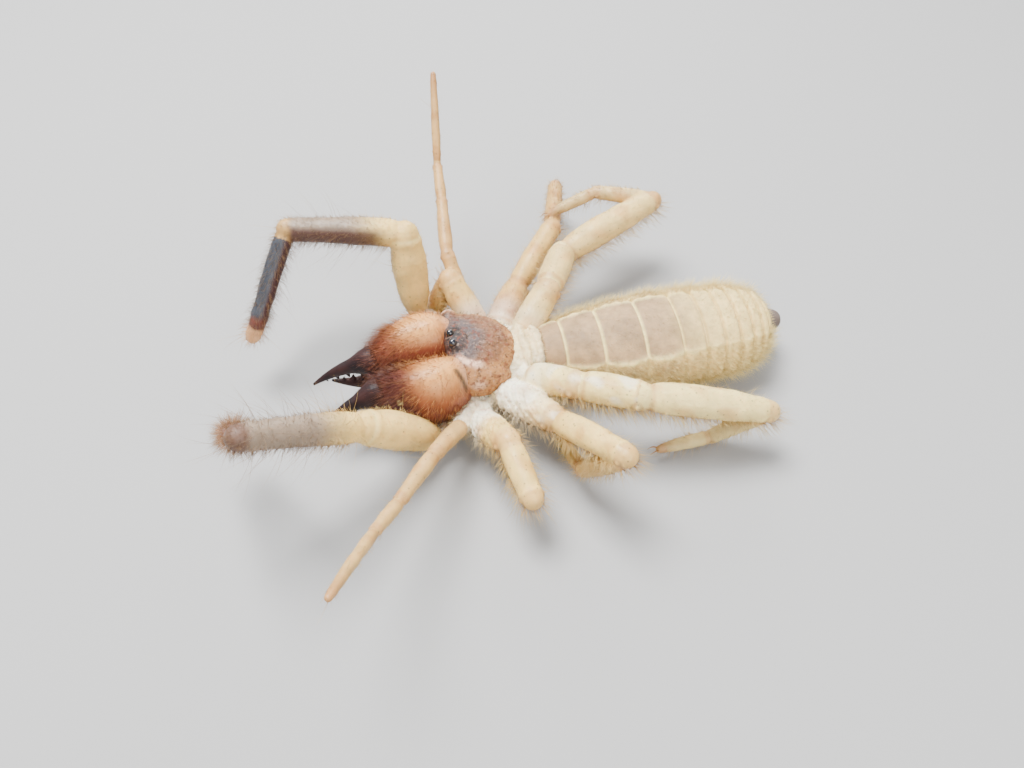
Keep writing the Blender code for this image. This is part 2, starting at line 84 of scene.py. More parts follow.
# A bulb's rings: share of its length, share of its half width, top and bottom
BULB_ROWS = (
    (-0.05, 0.35, 6.6, 4.6),
    (0.0, 0.62, 8.0, 3.2),
    (0.15, 0.88, 9.0, 2.2),
    (0.36, 1.0, 9.4, 1.6),
    (0.58, 0.98, 9.1, 1.4),
    (0.78, 0.84, 8.3, 1.6),
    (0.92, 0.64, 7.3, 2.2),
    (1.0, 0.44, 6.4, 3.1),
    (1.03, 0.2, 5.6, 4.1),
)

# Limbs: segment lengths and radii at start, first third, second third and end
LIMBS = {
    "palp": (
        ("femur", 9.5, (1.15, 1.75, 1.95, 1.6)),
        ("tibia", 11.7, (1.5, 1.5, 1.35, 1.2)),
        ("metatarsus", 9.7, (1.0, 1.0, 0.95, 0.9)),
        ("tarsus", 2.2, (0.88, 0.88, 0.88, 0.8)),
    ),
    "leg_1": (
        ("femur", 5.9, (0.95, 0.92, 0.86, 0.8)),
        ("patella", 6.9, (0.8, 0.8, 0.72, 0.66)),
        ("tibia", 4.4, (0.64, 0.66, 0.62, 0.56)),
        ("tarsus", 10.0, (0.54, 0.54, 0.47, 0.4)),
    ),
    "leg_2": (
        ("trochanter", 6.6, (1.35, 1.55, 1.5, 1.3)),
        ("femur", 5.9, (1.15, 1.25, 1.2, 1.1)),
        ("tibia", 6.1, (0.9, 0.95, 0.9, 0.75)),
        ("tarsus", 2.3, (0.7, 0.68, 0.62, 0.5)),
    ),
    "leg_3": (
        ("trochanter", 7.0, (1.6, 1.75, 1.7, 1.4)),
        ("femur", 9.3, (1.2, 1.35, 1.3, 1.15)),
        ("tibia", 7.5, (1.0, 1.05, 1.0, 0.85)),
        ("tarsus", 5.8, (0.75, 0.75, 0.68, 0.5)),
    ),
    "leg_4": (
        ("trochanter", 6.0, (1.4, 1.65, 1.6, 1.45)),
        ("femur", 6.1, (1.45, 1.6, 1.6, 1.5)),
        ("tibia", 12.8, (1.4, 1.65, 1.6, 1.2)),
        ("metatarsus", 6.6, (1.0, 1.0, 0.92, 0.8)),
        ("tarsus", 5.7, (0.75, 0.75, 0.68, 0.5)),
    ),
}

# Pose: the hip, then each segment's heading from +X and pitch above level, in degrees
POSES = {
    "palp_right": ((-10.4, 6.8, 3.6), ((102, 71), (185, 7), (246, -39), (200, -60))),
    "palp_left": ((-7.2, -8.6, 2.6), ((207, 44), (215, 35), (128, -48), (128, -46))),
    "leg_1_right": ((-5.1, 7.1, 4.7), ((116, 42), (97, 16), (98, 20), (93, 42))),
    "leg_1_left": ((-4.9, -8.2, 4.2), ((247, 27), (249, 20), (250, 27), (261, 39))),
    "leg_2_right": ((-3.4, 4.4, 3.4), ((130, 39), (170, -68), (115, -10), (112, -15))),
    "leg_2_left": ((-3.4, -6.9, 3.2), ((303, 31), (292, -9), (107, -38), (115, -35))),
    "leg_3_right": ((-1.4, 3.6, 4.4), ((75, -3), (62, 13), (85, 0), (91, -70))),
    "leg_3_left": ((-1.0, -4.2, 4.6), ((317, 14), (313, 22), (143, -57), (107, -30))),
    "leg_4_right": ((0.9, 2.2, 5.2), ((58, 24), (73, -4), (34, 7), (172, 4), (194, -22))),
    "leg_4_left": ((1.6, -3.0, 5.2), ((329, 24), (344, 4), (0, -11), (179, -45), (198, 5))),
}
COXA_ROOTS = {
    "palp_right": ((-3.5, 1.6, 2.4), (-7.4, 5.6, 2.3), 1.35),
    "palp_left": ((-3.0, -2.4, 2.4), (-5.0, -6.2, 2.3), 1.35),
    "leg_1_right": ((-2.6, 1.6, 3.2), (-4.2, 4.9, 3.9), 1.15),
    "leg_1_left": ((-2.4, -2.6, 3.2), (-3.9, -5.6, 3.6), 1.15),
    "leg_2_right": ((-1.4, 1.4, 3.2), (-2.4, 2.9, 3.3), 1.5),
    "leg_2_left": ((-1.2, -2.2, 3.2), (-2.8, -5.2, 3.1), 1.5),
    "leg_3_right": ((-0.4, 1.2, 3.4), (-0.9, 2.4, 3.9), 1.7),
    "leg_3_left": ((0.0, -2.0, 3.4), (-0.5, -3.1, 4.0), 1.75),
    "leg_4_right": ((0.6, 0.4, 3.8), (0.8, 1.3, 4.5), 1.6),
    "leg_4_left": ((1.0, -1.2, 3.8), (1.3, -2.1, 4.5), 1.6),
}
CLAWED = ("leg_2", "leg_3", "leg_4")
MALLEOLUS_SHARES = (0.12, 0.3, 0.48, 0.66)

# Head shield: how far it sits to the right, and its marks as lines of (ahead, aside)
PLATE_ASIDE = 0.3
# The crease line carries painted shade where the left bulb meets the shield.
CREASE_SHADE_LINE = ((6.4, -3.6), (5.8, -4.5), (5.4, -5.1))
LIP_LINE = ((5.9, -1.9), (5.35, -2.9), (4.4, -3.3), (3.3, -3.3))

# How far round a feeler, from its top, its inner side lies
INNER_TURN = math.radians(110.0)

# The hollow between two left legs, dark with hair and with painted shade, the left legs' powdered
# parts, and the longest hairs
TUFT_AND_SHADE = (-1.4, -5.8, 2.4)
TUFT_AND_SHADE_SIZE = (1.8, 1.9, 2.0)
POWDERED = (("leg_3", "trochanter"), ("leg_4", "trochanter"), ("leg_4", "femur"))
LONG_HAIRS = {"palp": 3.4, "leg_1": 1.9, "leg_2": 1.9, "leg_3": 1.9, "leg_4": 1.9}

# Mesh fineness: voxel edges of a limb skin, the trunk, the head shield and the fingers
LIMB_VOXEL = 0.14
TRUNK_VOXEL = 0.13
PLATE_VOXEL = 0.1
HORN_VOXEL = 0.05
ABDOMEN_RINGS = 260

# Coat: what a bristle's look names, and its patch when baked
LOOK_KEYS = ("length", "width", "lean", "curl", "pale")
BAKE_PATCH = 0.0013
MOST_TRIANGLES = 190000

# Camera: the photo's angle. The distance is to the floor point in the middle of the picture.
CAMERA_PITCH = 53.0
CAMERA_DISTANCE = 80.0
CAMERA_LENS = 26.0
SENSOR = 36.0

# Studio: floor and sky colours, then each light's place and size in metres and its watts
FLOOR_COLOUR = (0.38, 0.378, 0.375, 1.0)
SKY_COLOUR = (0.93, 0.96, 1.0, 1.0)
SKY_STRENGTH = 0.6
LIGHTS = (
    ("key", (-0.08, 0.08, 0.3), 0.16, 3.3),
    ("fill", (0.15, -0.25, 0.22), 0.25, 1.2),
    ("rim", (0.05, 0.3, 0.14), 0.15, 0.6),
)


def srgb(red, green, blue):
    """A colour as seen on a screen, 0 to 255, turned into linear values."""
    return np.array([((value / 255.0 + 0.055) / 1.055) ** 2.4 for value in (red, green, blue)])


# Colours of the animal
CREAM = srgb(240, 204, 122)
IVORY = srgb(248, 228, 156)
CHALK = srgb(252, 243, 218)
GOLD = srgb(224, 160, 88)
TAN = srgb(190, 138, 82)
ORANGE = srgb(150, 84, 48)
RUST = srgb(112, 56, 38)
LILAC_GREY = srgb(130, 114, 104)
SLATE = srgb(62, 64, 70)
MAROON = srgb(72, 38, 34)
DARK_JAW = srgb(48, 22, 28)
PLATE_GREY = srgb(86, 75, 74)
PINK = srgb(238, 192, 160)
STRAW = srgb(232, 202, 132)
DUSTY = srgb(178, 146, 106)
UMBER = srgb(74, 56, 44)
# Dark hair, deepened as painted shade for the hollow between the left legs.
DARK_HAIR_AND_SHADE = UMBER * 0.5 + RUST * 0.2


def heading_vector(heading, pitch=0.0):
    turn = math.radians(heading)
    lift = math.radians(pitch)
    return Vector((math.cos(turn) * math.cos(lift), math.sin(turn) * math.cos(lift), math.sin(lift)))


def right_of(heading):
    along = heading_vector(heading)
    return Vector((along.y, -along.x, 0.0))


def head_point(ahead, aside, height):
    level = heading_vector(HEAD_HEADING) * ahead + right_of(HEAD_HEADING) * aside
    return HEAD_ORIGIN + level + UP * height


def shift_of_frame():
    """How far the solids were moved to centre them: read from where the right eye lies."""
    low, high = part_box("eye_right")
    return (low + high) / 2.0 / MM - head_point(EYE_AHEAD, EYE_ASIDE, EYE_HEIGHT)


SHIFT = shift_of_frame()


def frame_place(origin, side, up, along):
    """Turns the millimetres of a form on these axes into the frame's metres."""
    turn = Matrix((side, up, along)).transposed().to_4x4()
    return Matrix.Scale(MM, 4) @ Matrix.Translation(origin + SHIFT) @ turn


class Segment:
    """One straight length of a limb, with its own axes: side, up and along."""

    def __init__(self, limb, part, start, end, radii, hint):
        self.limb = limb
        self.kind = limb.rsplit("_", 1)[0]
        self.hand = 1.0 if limb.endswith("right") else -1.0
        self.part = part
        self.start = start
        self.end = end
        self.radii = radii
        self.length = (end - start).length
        self.along = (end - start).normalized()
        self.up = (hint - self.along * hint.dot(self.along)).normalized()
        self.side = self.up.cross(self.along)

    def place(self):
        return frame_place(self.start, self.side, self.up, self.along)

    def radius_at(self, share):
        step = min(max(share, 0.0), 1.0) * (len(self.radii) - 1)
        index = min(int(step), len(self.radii) - 2)
        ease = (1.0 - math.cos(math.pi * (step - index))) / 2.0
        return self.radii[index] * (1.0 - ease) + self.radii[index + 1] * ease


def limb_segments(limb):
    kind = limb.rsplit("_", 1)[0]
    hip, angles = POSES[limb]
    start = Vector(hip)
    outward = Vector((0.0, 1.0 if limb.endswith("right") else -1.0, 0.0))
    made = []
    for (part, length, radii), (heading, pitch) in zip(LIMBS[kind], angles):
        along = heading_vector(heading, pitch)
        hint = UP if abs(along.z) < 0.75 else outward
        made.append(Segment(limb, part, start, start + along * length, radii, hint))
        start = start + along * length
    return made


# Modelling


def deselect_all():
    for thing in bpy.context.selected_objects:
        thing.select_set(False)


def make_active(thing):
    deselect_all()
    thing.select_set(True)
    bpy.context.view_layer.objects.active = thing


def move_mesh(form, place):
    """Puts a form into the frame by its vertices, and keeps its faces outward."""
    form.data.transform(place @ form.matrix_world)
    form.matrix_world = Matrix.Identity(4)
    if place.determinant() < 0.0:
        form.data.flip_normals()


def extruded_form(name, stations, sides, place):
    """A closed form drawn out ring by ring.

    A station is (along, half side, half up, side shift, up shift), in the form's own millimetres.
    """
    deselect_all()
    along, wide, high, aside, over = stations[0]
    bpy.ops.mesh.primitive_circle_add(
        vertices=sides, radius=1.0, fill_type="NGON", location=(aside, over, along)
    )
    form = bpy.context.object
    form.name = name
    bpy.ops.object.mode_set(mode="EDIT")
    bpy.ops.mesh.select_all(action="SELECT")
    bpy.ops.transform.resize(value=(wide, high, 1.0), center_override=(aside, over, along))
    for before, here in zip(stations, stations[1:]):
        move = (here[3] - before[3], here[4] - before[4], here[0] - before[0])
        bpy.ops.mesh.extrude_region_move(TRANSFORM_OT_translate={"value": move})
        growth = (here[1] / before[1], here[2] / before[2], 1.0)
        bpy.ops.transform.resize(value=growth, center_override=(here[3], here[4], here[0]))
    bpy.ops.mesh.select_all(action="SELECT")
    bpy.ops.mesh.normals_make_consistent(inside=False)
    bpy.ops.object.mode_set(mode="OBJECT")
    move_mesh(form, place)
    return form


def smooth_shaded(thing):
    make_active(thing)
    bpy.ops.object.shade_smooth()
    return thing


def apply_modifier(thing, kind, **settings):
    modifier = thing.modifiers.new("shape", kind)
    for key, value in settings.items():
        setattr(modifier, key, value)
    make_active(thing)
    bpy.ops.object.modifier_apply(modifier=modifier.name)


def join(name, forms):
    make_active(forms[0])
    for form in forms:
        form.select_set(True)
    if len(forms) > 1:
        bpy.ops.object.join()
    whole = bpy.context.object
    whole.name = name
    whole.data.name = name
    return whole


def grow_together(name, forms, voxel, smoothing):
    """Overlapping forms become one unbroken surface, eased where they meet."""
    whole = join(name, forms)
    apply_modifier(whole, "REMESH", mode="VOXEL", voxel_size=voxel * MM)
    apply_modifier(whole, "SMOOTH", factor=0.5, iterations=smoothing)
    return smooth_shaded(whole)


def lumps(scale):
    """A cloudy pattern with lumps about this many millimetres across."""
    pattern = bpy.data.textures.new("lumps", "CLOUDS")
    pattern.noise_scale = scale * MM
    pattern.noise_depth = 2
    return pattern


def roughen(piece, height, scale):
    """Lifts and sinks a surface in small random lumps."""
    strength = height * MM
    apply_modifier(piece, "DISPLACE", texture=lumps(scale), strength=strength, texture_coords="GLOBAL")


def limb_form(segment, inset=0.04):
    """A limb segment: a narrow neck, a slightly bowed shaft, a collar and a round knuckle."""
    first = segment.radius_at(0.0) * 0.82
    last = segment.radius_at(1.0)
    bow = 0.014 * segment.length
    stations = []
    for angle in (84.0, 62.0, 38.0, 14.0):
        turn = math.radians(angle)
        radius = max(first * math.cos(turn), 0.03)
        stations.append((-first * 0.95 * math.sin(turn), radius, radius, 0.0, 0.0))
    shares = (0.04, 0.08, 0.14, 0.22, 0.32, 0.45, 0.58, 0.7, 0.8, 0.87, 0.92, 0.97)
    swell = (0.84, 0.93, 1.0, 1.0, 1.0, 1.0, 1.0, 0.99, 0.98, 1.0, 1.07, 0.99)
    for share, factor in zip(shares, swell):
        radius = segment.radius_at(share) * factor - inset
        lift = bow * math.sin(math.pi * share)
        stations.append((segment.length * share, radius, radius * 0.98, 0.0, lift))
    for angle in (8.0, 30.0, 52.0, 70.0, 85.0):
        turn = math.radians(angle)
        radius = max((last * 0.95 - inset) * math.cos(turn), 0.03)
        stations.append((segment.length + last * 0.85 * math.sin(turn), radius, radius, 0.0, 0.0))
    return extruded_form("segment", stations, 20, segment.place())


def knobs_of(segment):
    """The centres and size of the small knobs either side of a segment's far joint."""
    size = segment.radius_at(1.0) * 0.24
    aside = segment.side * (segment.radius_at(1.0) - size * 0.45)
    middle = segment.end - segment.along * size * 0.8
    return (middle + aside, size), (middle - aside, size)


def body_place(origin, heading):
    """Places a level body form: its side is to the right of the heading and its length along it."""
    return frame_place(origin, right_of(heading), UP, heading_vector(heading))


HEAD_PLACE = body_place(HEAD_ORIGIN, HEAD_HEADING)
ABDOMEN_PLACE = body_place(ABDOMEN_ORIGIN, ABDOMEN_HEADING)


def smooth_rows(rows, steps):
    """More rows between the named ones, on a smooth curve through them."""
    rows = np.array(rows, float)
    padded = np.vstack((2 * rows[0] - rows[1], rows, 2 * rows[-1] - rows[-2]))
    made = []
    for a, b, c, d in zip(padded, padded[1:], padded[2:], padded[3:]):
        for step in range(steps):
            t = step / steps
            square = (2 * a - 5 * b + 4 * c - d) * t ** 2
            cube = (3 * b - a - 3 * c + d) * t ** 3
            made.append(0.5 * (2 * b + (c - a) * t + square + cube))
    made.append(rows[-1])
    return made


def upright_stations(rows, inset=0.0, inner=None):
    """Turns (ahead, half width, top, bottom) into stations of an extruded form.

    With inner given, every ring's near edge stays that far to one side of the axis.
    """
    made = []
    for ahead, half_width, top, bottom in rows:
        aside = 0.0 if inner is None else inner + math.copysign(half_width, inner)
        half_height = (top - bottom) / 2.0 - inset
        wide = max(half_width - inset, 0.03)
        made.append((ahead, wide, max(half_height, 0.03), aside, (top + bottom) / 2.0))
    return made


def round_form(centre, radii):
    """A rounded lump: half sizes ahead, aside and up, in the head's axes."""
    deselect_all()
    bpy.ops.mesh.primitive_uv_sphere_add(segments=24, ring_count=14, radius=1.0)
    form = bpy.context.object
    length, width, height = radii
    axes = (right_of(HEAD_HEADING) * width, heading_vector(HEAD_HEADING) * length, UP * height)
    move_mesh(form, frame_place(centre, *axes))
    return form


def path_form(points, radii, sides, tall=1.0):
    """A curved form: rings set one after another along a nearly straight path."""
    start = Vector(points[0])
    along = (Vector(points[-1]) - start).normalized()
    hint = UP if abs(along.z) < 0.9 else Vector((1.0, 0.0, 0.0))
    up = (hint - along * along.dot(hint)).normalized()
    side = up.cross(along)
    stations = []
    for point, radius in zip(points, radii):
        offset = Vector(point) - start
        stations.append((offset.dot(along), radius, radius * tall, offset.dot(side), offset.dot(up)))
    return extruded_form("curved", stations, sides, frame_place(start, side, up, along))


def vertex_points(piece):
    """A piece's vertices in the design's millimetres."""
    points = np.empty(len(piece.data.vertices) * 3, np.float32)
    piece.data.vertices.foreach_get("co", points)
    return points.reshape(-1, 3).astype(float) / MM - np.array(SHIFT)


def set_vertex_points(piece, points):
    """Moves a piece's vertices, and presses what would sink below the floor up to it."""
    points[:, 2] = np.maximum(points[:, 2], 0.01)
    piece.data.vertices.foreach_set("co", ((points + np.array(SHIFT)) * MM).astype(np.float32).ravel())
    piece.data.update()


def press_to_floor(piece):
    set_vertex_points(piece, vertex_points(piece))


def lift(piece, heights):
    """Moves each vertex along its normal by so many millimetres."""
    normals = np.empty(len(piece.data.vertices) * 3, np.float32)
    piece.data.vertex_normals.foreach_get("vector", normals)
    set_vertex_points(piece, vertex_points(piece) + normals.reshape(-1, 3) * heights[:, None])


def finish_piece(piece, material, slot, *nodes):
    piece.data.materials.clear()
    piece.data.materials.append(material)
    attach(piece, "root")
    if nodes:
        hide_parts(*nodes)


# Markings: each takes points in the design's millimetres and gives linear colours


def unit(vectors):
    return vectors / np.maximum(np.linalg.norm(vectors, axis=1), 1e-9)[:, None]


def blend(first, second, mask):
    """Lays the second colours over the first by a mask, which may be one value for all points."""
    mask = np.clip(np.atleast_1d(mask), 0.0, 1.0)[:, None]
    return first * (1.0 - mask) + second * mask


def ramp(values, low, high):
    """0 below low, 1 above high, with a smooth change between."""
    t = np.clip((values - low) / (high - low), 0.0, 1.0)
    return t * t * (3.0 - 2.0 * t)


def wobble(points, scale):
    """A slow uneven wave between -1 and 1 that breaks up the edges of markings."""
    x, y, z = (points / scale).T
    return (np.sin(x + 1.7 * np.sin(y)) + np.sin(1.3 * y + 1.1 * np.sin(z)) + np.sin(1.6 * z + x)) / 3.0


def away_from_line(first, second, line):
    """How far each point, given by two coordinates, lies from a bent line."""
    nearest = np.full(len(first), 1e9)
    for start, end in zip(line, line[1:]):
        step = np.subtract(end, start)
        share = ((first - start[0]) * step[0] + (second - start[1]) * step[1]) / (step @ step)
        share = np.clip(share, 0.0, 1.0)
        away = np.hypot(first - start[0] - share * step[0], second - start[1] - share * step[1])
        nearest = np.minimum(nearest, away)
    return nearest


def nearest_segment(points, segments):
    """Each point's segment, share of the way along it, turn round it and how far it faces down."""
    best = np.full(len(points), 1e9)
    which = np.zeros(len(points), int)
    share, around, down = np.zeros((3, len(points)))
    for index, segment in enumerate(segments):
        offset = points - np.array(segment.start)
        along = np.clip(offset @ np.array(segment.along), 0.0, segment.length)
        rest = offset - along[:, None] * np.array(segment.along)
        distance = np.linalg.norm(rest, axis=1) - segment.radius_at(0.5)
        closer = distance < best
        best[closer] = distance[closer]
        which[closer] = index
        share[closer] = along[closer] / segment.length
        angle = np.arctan2(rest @ np.array(segment.side), rest @ np.array(segment.up))
        around[closer] = angle[closer]
        down[closer] = -unit(rest)[closer, 2]
    return which, share, around, down


def palp_colours(segment, share, around, down):
    """Cream at the base, then a grey back with a dark inner side, and a rusty tip, with painted shade
    on the undersides.
    """
    # Painted shade: tan, orange or maroon laid over the undersides by how far they face down.
    under = ramp(down, 0.0, 0.8)
    inner = ramp(np.cos(around - INNER_TURN * segment.hand), 0.1, 0.65)
    colour = CREAM
    if segment.part == "femur":
        colour = blend(colour, TAN, 0.15 + 0.35 * under + 0.15 * (1.0 - ramp(share, 0.0, 0.25)))
        return blend(colour, IVORY, 0.4 * np.exp(-((share - 0.96) / 0.02) ** 2))
    if segment.part == "tibia":
        colour = blend(colour, LILAC_GREY, 0.92 * ramp(share, 0.1, 0.5))
        colour = blend(colour, ORANGE, 0.4 * under)
        if segment.hand > 0.0:
            colour = blend(colour, MAROON, 0.85 * inner * ramp(share, 0.08, 0.3))
        colour = blend(colour, CREAM, 1.0 - ramp(share, 0.0, 0.08))
        knuckle = TAN * 0.6 + CREAM * 0.3 if segment.hand > 0.0 else UMBER * 0.9 + RUST * 0.3
        return blend(colour, knuckle, 0.8 * ramp(share, 0.93, 1.0))
    if segment.part == "metatarsus":
        colour = blend(colour, SLATE, ramp(share, 0.0, 0.08))
        # Maroon on the inner side is the feeler's own colour; on its underside it is painted shade.
        colour = blend(colour, MAROON, np.maximum(0.8 * inner, 0.6 * under))
        if segment.hand < 0.0:
            colour = blend(colour, ORANGE, 0.6)
        return blend(colour, RUST, 0.8 * ramp(share, 0.93, 1.0))
    return blend(RUST * 0.7 + UMBER * 0.3, TAN + PINK * 0.3, ramp(share, 0.05, 0.4))


def leg_colours(segment, share, _around, down):
    """Cream legs, chalky at the base, tan at the joints, with orange feet; painted shade below and on
    the tucked tibiae, and a painted highlight on top of the hind legs.
    """
    under = ramp(down, 0.05, 0.95)
    colour = CREAM
    if segment.part == "trochanter":
        reach = 1.15 if segment.limb == "leg_3_left" else 0.7
        colour = blend(colour, CHALK, 1.0 - ramp(share, 0.3, reach))
    if segment.limb == "leg_3_right" and segment.part == "trochanter":
        blush = ramp(share, 0.05, 0.3) * (1.0 - 0.7 * ramp(share, 0.5, 0.9))
        colour = blend(colour, ORANGE, 0.5 * blush)
    # Painted highlight: the hind legs are paler on their tops and sides.
    if segment.kind == "leg_4":
        colour = blend(colour, IVORY, 0.6 * (1.0 - under))
    if segment.kind == "leg_1":
        colour = blend(colour, TAN * 0.75 + LILAC_GREY * 0.25, 0.6)
    if segment.hand > 0.0:
        colour = blend(colour, TAN, 0.35)
    # Painted shade: tan on the undersides.
    colour = blend(colour, TAN, 0.45 * under)
    if segment.part in ("metatarsus", "tarsus") and segment.kind == "leg_4":
        colour = blend(colour, LILAC_GREY, 0.25)
    if segment.part == "tarsus":
        colour = blend(colour, ORANGE, 0.45 * ramp(share, 0.6, 1.0))
    # Painted shade: the tibiae of the second and third legs, folded under their femurs, are darker.
    if segment.part == "tibia" and segment.kind in ("leg_2", "leg_3"):
        colour = blend(colour, TAN * 0.8, 0.5)
    collar = ramp(share * segment.length, segment.length - 0.7, segment.length - 0.35)
    colour = blend(colour, TAN * 0.85 + PINK * 0.1, 0.45 * collar)
    membrane = 1.0 - ramp(share * segment.length, 0.25, 0.5)
    colour = blend(colour, TAN, 0.5 * np.exp(-((share * segment.length - 0.75) / 0.22) ** 2))
    return blend(colour, IVORY, 0.5 * membrane)


def knob_marks(points, segments):
    """Brown rings round the small knobs beside the joints."""
    mark = np.zeros(len(points))
    for segment in segments:
        for centre, size in knobs_of(segment):
            away = np.linalg.norm(points - np.array(centre), axis=1) / size
            mark = np.maximum(mark, ramp(away, 0.8, 1.1) * (1.0 - ramp(away, 1.3, 2.0)))
    return mark


def limb_colours(points, segments):
    which, share, around, down = nearest_segment(points, segments)
    colours = np.zeros((len(points), 3))
    for index, segment in enumerate(segments):
        mine = which == index
        if mine.any():
            chosen = palp_colours if segment.kind == "palp" else leg_colours
            colours[mine] = chosen(segment, share[mine], around[mine], down[mine])
    dusty = [s.hand < 0.0 and (s.kind, s.part) in POWDERED for s in segments]
    powder = ramp(wobble(points, 0.5), 0.0, 0.7) * np.array(dusty)[which]
    colours = blend(colours, CHALK, 0.6 * powder * ramp(-down, -0.3, 0.5))
    legs = np.array([segment.kind != "palp" for segment in segments])[which]
    stain = ramp(wobble(points + 7.0, 0.6), 0.1, 0.8) * legs
    colours = blend(colours, colours * np.array((0.82, 0.68, 0.6)), 0.7 * stain)
    pairs = zip(segments, segments[1:])
    jointed = [before for before, after in pairs if before.limb == after.limb and before.kind != "palp"]
    colours = blend(colours, TAN * 0.6, 0.45 * knob_marks(points, jointed))
    # Dark hair and painted shade in the hollow between the left second and third legs.
    return blend(colours, DARK_HAIR_AND_SHADE, 0.9 * dark_tuft_and_shade(points))


def body_axes(points, origin, heading):
    """Distances along a body's axis and to its right, and heights."""
    offset = points - np.array(origin)
    ahead, aside = (offset @ np.array(axis) for axis in (heading_vector(heading), right_of(heading)))
    return ahead, aside, points[:, 2]


def head_axes(points):
    return body_axes(points, HEAD_ORIGIN, HEAD_HEADING)


def abdomen_axes(points):
    return body_axes(points, ABDOMEN_ORIGIN, ABDOMEN_HEADING)


def bulb_axes(points):
    """How far along its bulb a point lies, how far round from its crown, and its height."""
    ahead, aside, height = head_axes(points)
    share = (ahead - BULB_START) / BULB_LENGTH
    outward = np.abs(aside) - BULB_HALF_WIDTH
    around = np.degrees(np.arctan2(outward, height - BULB_MIDDLE))
    return share, around, height


def crease_shade_mark(ahead, aside, height):
    """Painted shade in the dark crease where the left bulb meets the head shield."""
    return (1.0 - ramp(away_from_line(ahead, aside, CREASE_SHADE_LINE), 0.12, 0.4)) * ramp(height, 6.0, 6.8)


def bulb_dark(points):
    """Where the bulbs turn almost black: in front, round the fingers, and below."""
    share, _, height = bulb_axes(points)
    _, aside, _ = head_axes(points)
    spared = np.where(aside > 0.0, 0.9, 0.25) * ramp(height, 5.6, 7.6)
    front = ramp(share + 0.04 * wobble(points, 0.8), 0.48, 0.74) * (1.0 - spared)
    below = ramp(-height, -5.4, -3.4) * ramp(share, 0.0, 0.4)
    return np.maximum(front, below)


def bulb_colours(points):
    """Golden crowns ringed with orange, rust towards the midline and almost black finger bases."""
    share, around, height = bulb_axes(points)
    ahead, aside, _ = head_axes(points)
    crown_share = np.where(aside > 0.0, 0.4, 0.28)
    from_crown = np.hypot((share - crown_share) / 0.44, (around - 4.0) / 58.0)
    from_crown = from_crown + 0.07 * wobble(points, 1.1)
    colour = blend(ORANGE, RUST, ramp(from_crown, 0.9, 1.35))
    colour = blend(colour, GOLD, 1.0 - ramp(from_crown, 0.15, 1.0))
    # The pale pink rear top is the bulb's own membrane, lightened further as a painted highlight.
    rear = (1.0 - ramp(share, 0.02, 0.2)) * ramp(height, 5.8, 7.6)
    colour = blend(colour, PINK * 0.8, 0.7 * rear)
    midline = ramp(-around, 30.0, 52.0)
    colour = blend(colour, RUST * 1.6, 0.9 * midline)
    colour = blend(colour, RUST * 1.5, 0.75 * ramp(share, 0.62, 0.85))
    # Painted shade in the crease against the head shield.
    colour = blend(colour, UMBER * 0.7, 0.9 * crease_shade_mark(ahead, aside, height))
    return blend(colour, DARK_JAW * 1.6, 0.95 * bulb_dark(points))


def bulb_skin_colours(points):
    """The bulb's markings with the small pale callus on the left one."""
    colour = bulb_colours(points)
    ahead, aside, height = head_axes(points)
    callus = np.linalg.norm(np.column_stack((ahead, aside, height)) - CALLUS, axis=1)
    colour = blend(colour, IVORY, 0.7 * (1.0 - ramp(callus, 0.2, 0.36)))
    return blend(colour, DARK_JAW, 1.0 - ramp(callus, 0.06, 0.14))


def plate_axes(points):
    """The share of the way from the middle of the plate's front edge to its rim."""
    ahead, aside, height = head_axes(points)
    aside = aside - PLATE_ASIDE
    return np.hypot((6.5 - ahead) / 6.4, aside / 4.4), ahead, aside, height


def lip_of(ahead, aside, height):
    """The pale crescent fold at the near front corner of the head shield."""
    away = away_from_line(ahead, aside, LIP_LINE)
    ends = ramp(ahead, 3.2, 4.2) * ramp(-aside, 1.7, 2.6)
    return (1.0 - ramp(away, 0.1, 0.5)) * ramp(height, 6.6, 7.2) * ends


def plate_colours(points):
    """A grey band across the front, a rusty speckled rear, tan sides with a painted highlight on the
    near lobe, and a pale lip in front.
    """
    reach, ahead, aside, height = plate_axes(points)
    uneven = wobble(points, 0.5)
    top = ramp(height, 6.3, 7.1) * (1.0 - ramp(-aside, 3.0, 3.5) * ramp(ahead, 2.4, 3.4))
    # Painted highlight: pink on the round of the near lobe.
    lobe_highlight = np.hypot((ahead - 4.5) / 1.3, (height - 6.7) / 0.8)
    colour = blend(TAN * 0.6 + ORANGE * 0.3, PINK * 0.9, 0.6 * (1.0 - ramp(lobe_highlight, 0.2, 1.0)))
    rear = TAN * 0.22 + UMBER * 0.55 + RUST * 0.35
    colour = blend(colour, rear, top * (1.0 - ramp(reach + 0.05 * uneven, 0.84, 1.0)))
    band = np.hypot((6.5 - ahead) / 4.3, aside / 3.9) + 0.07 * uneven
    colour = blend(colour, PLATE_GREY, 0.95 * top * (1.0 - ramp(band, 0.65, 1.05)))
    corner = ramp(aside, 3.9, 4.3) * ramp(ahead, 4.6, 5.2)
    colour = blend(colour, PINK, np.maximum(lip_of(ahead, aside, height), corner))
    # Painted shade in the crease against the left bulb.
    colour = blend(colour, UMBER * 0.7, 0.9 * crease_shade_mark(ahead, aside + PLATE_ASIDE, height))
    far_spot = np.hypot((ahead - 6.1) / 0.5, (aside - 3.6) / 0.6)
    colour = blend(colour, UMBER * 0.5, 0.8 * top * (1.0 - ramp(far_spot, 0.4, 1.1)))
    near_eyes = np.hypot((ahead - EYE_AHEAD + 0.3) / 1.4, (aside - 0.1) / 2.0) + 0.22 * uneven
    return blend(colour, PLATE_GREY * 0.16, 0.95 * (1.0 - ramp(near_eyes, 0.55, 1.0)))


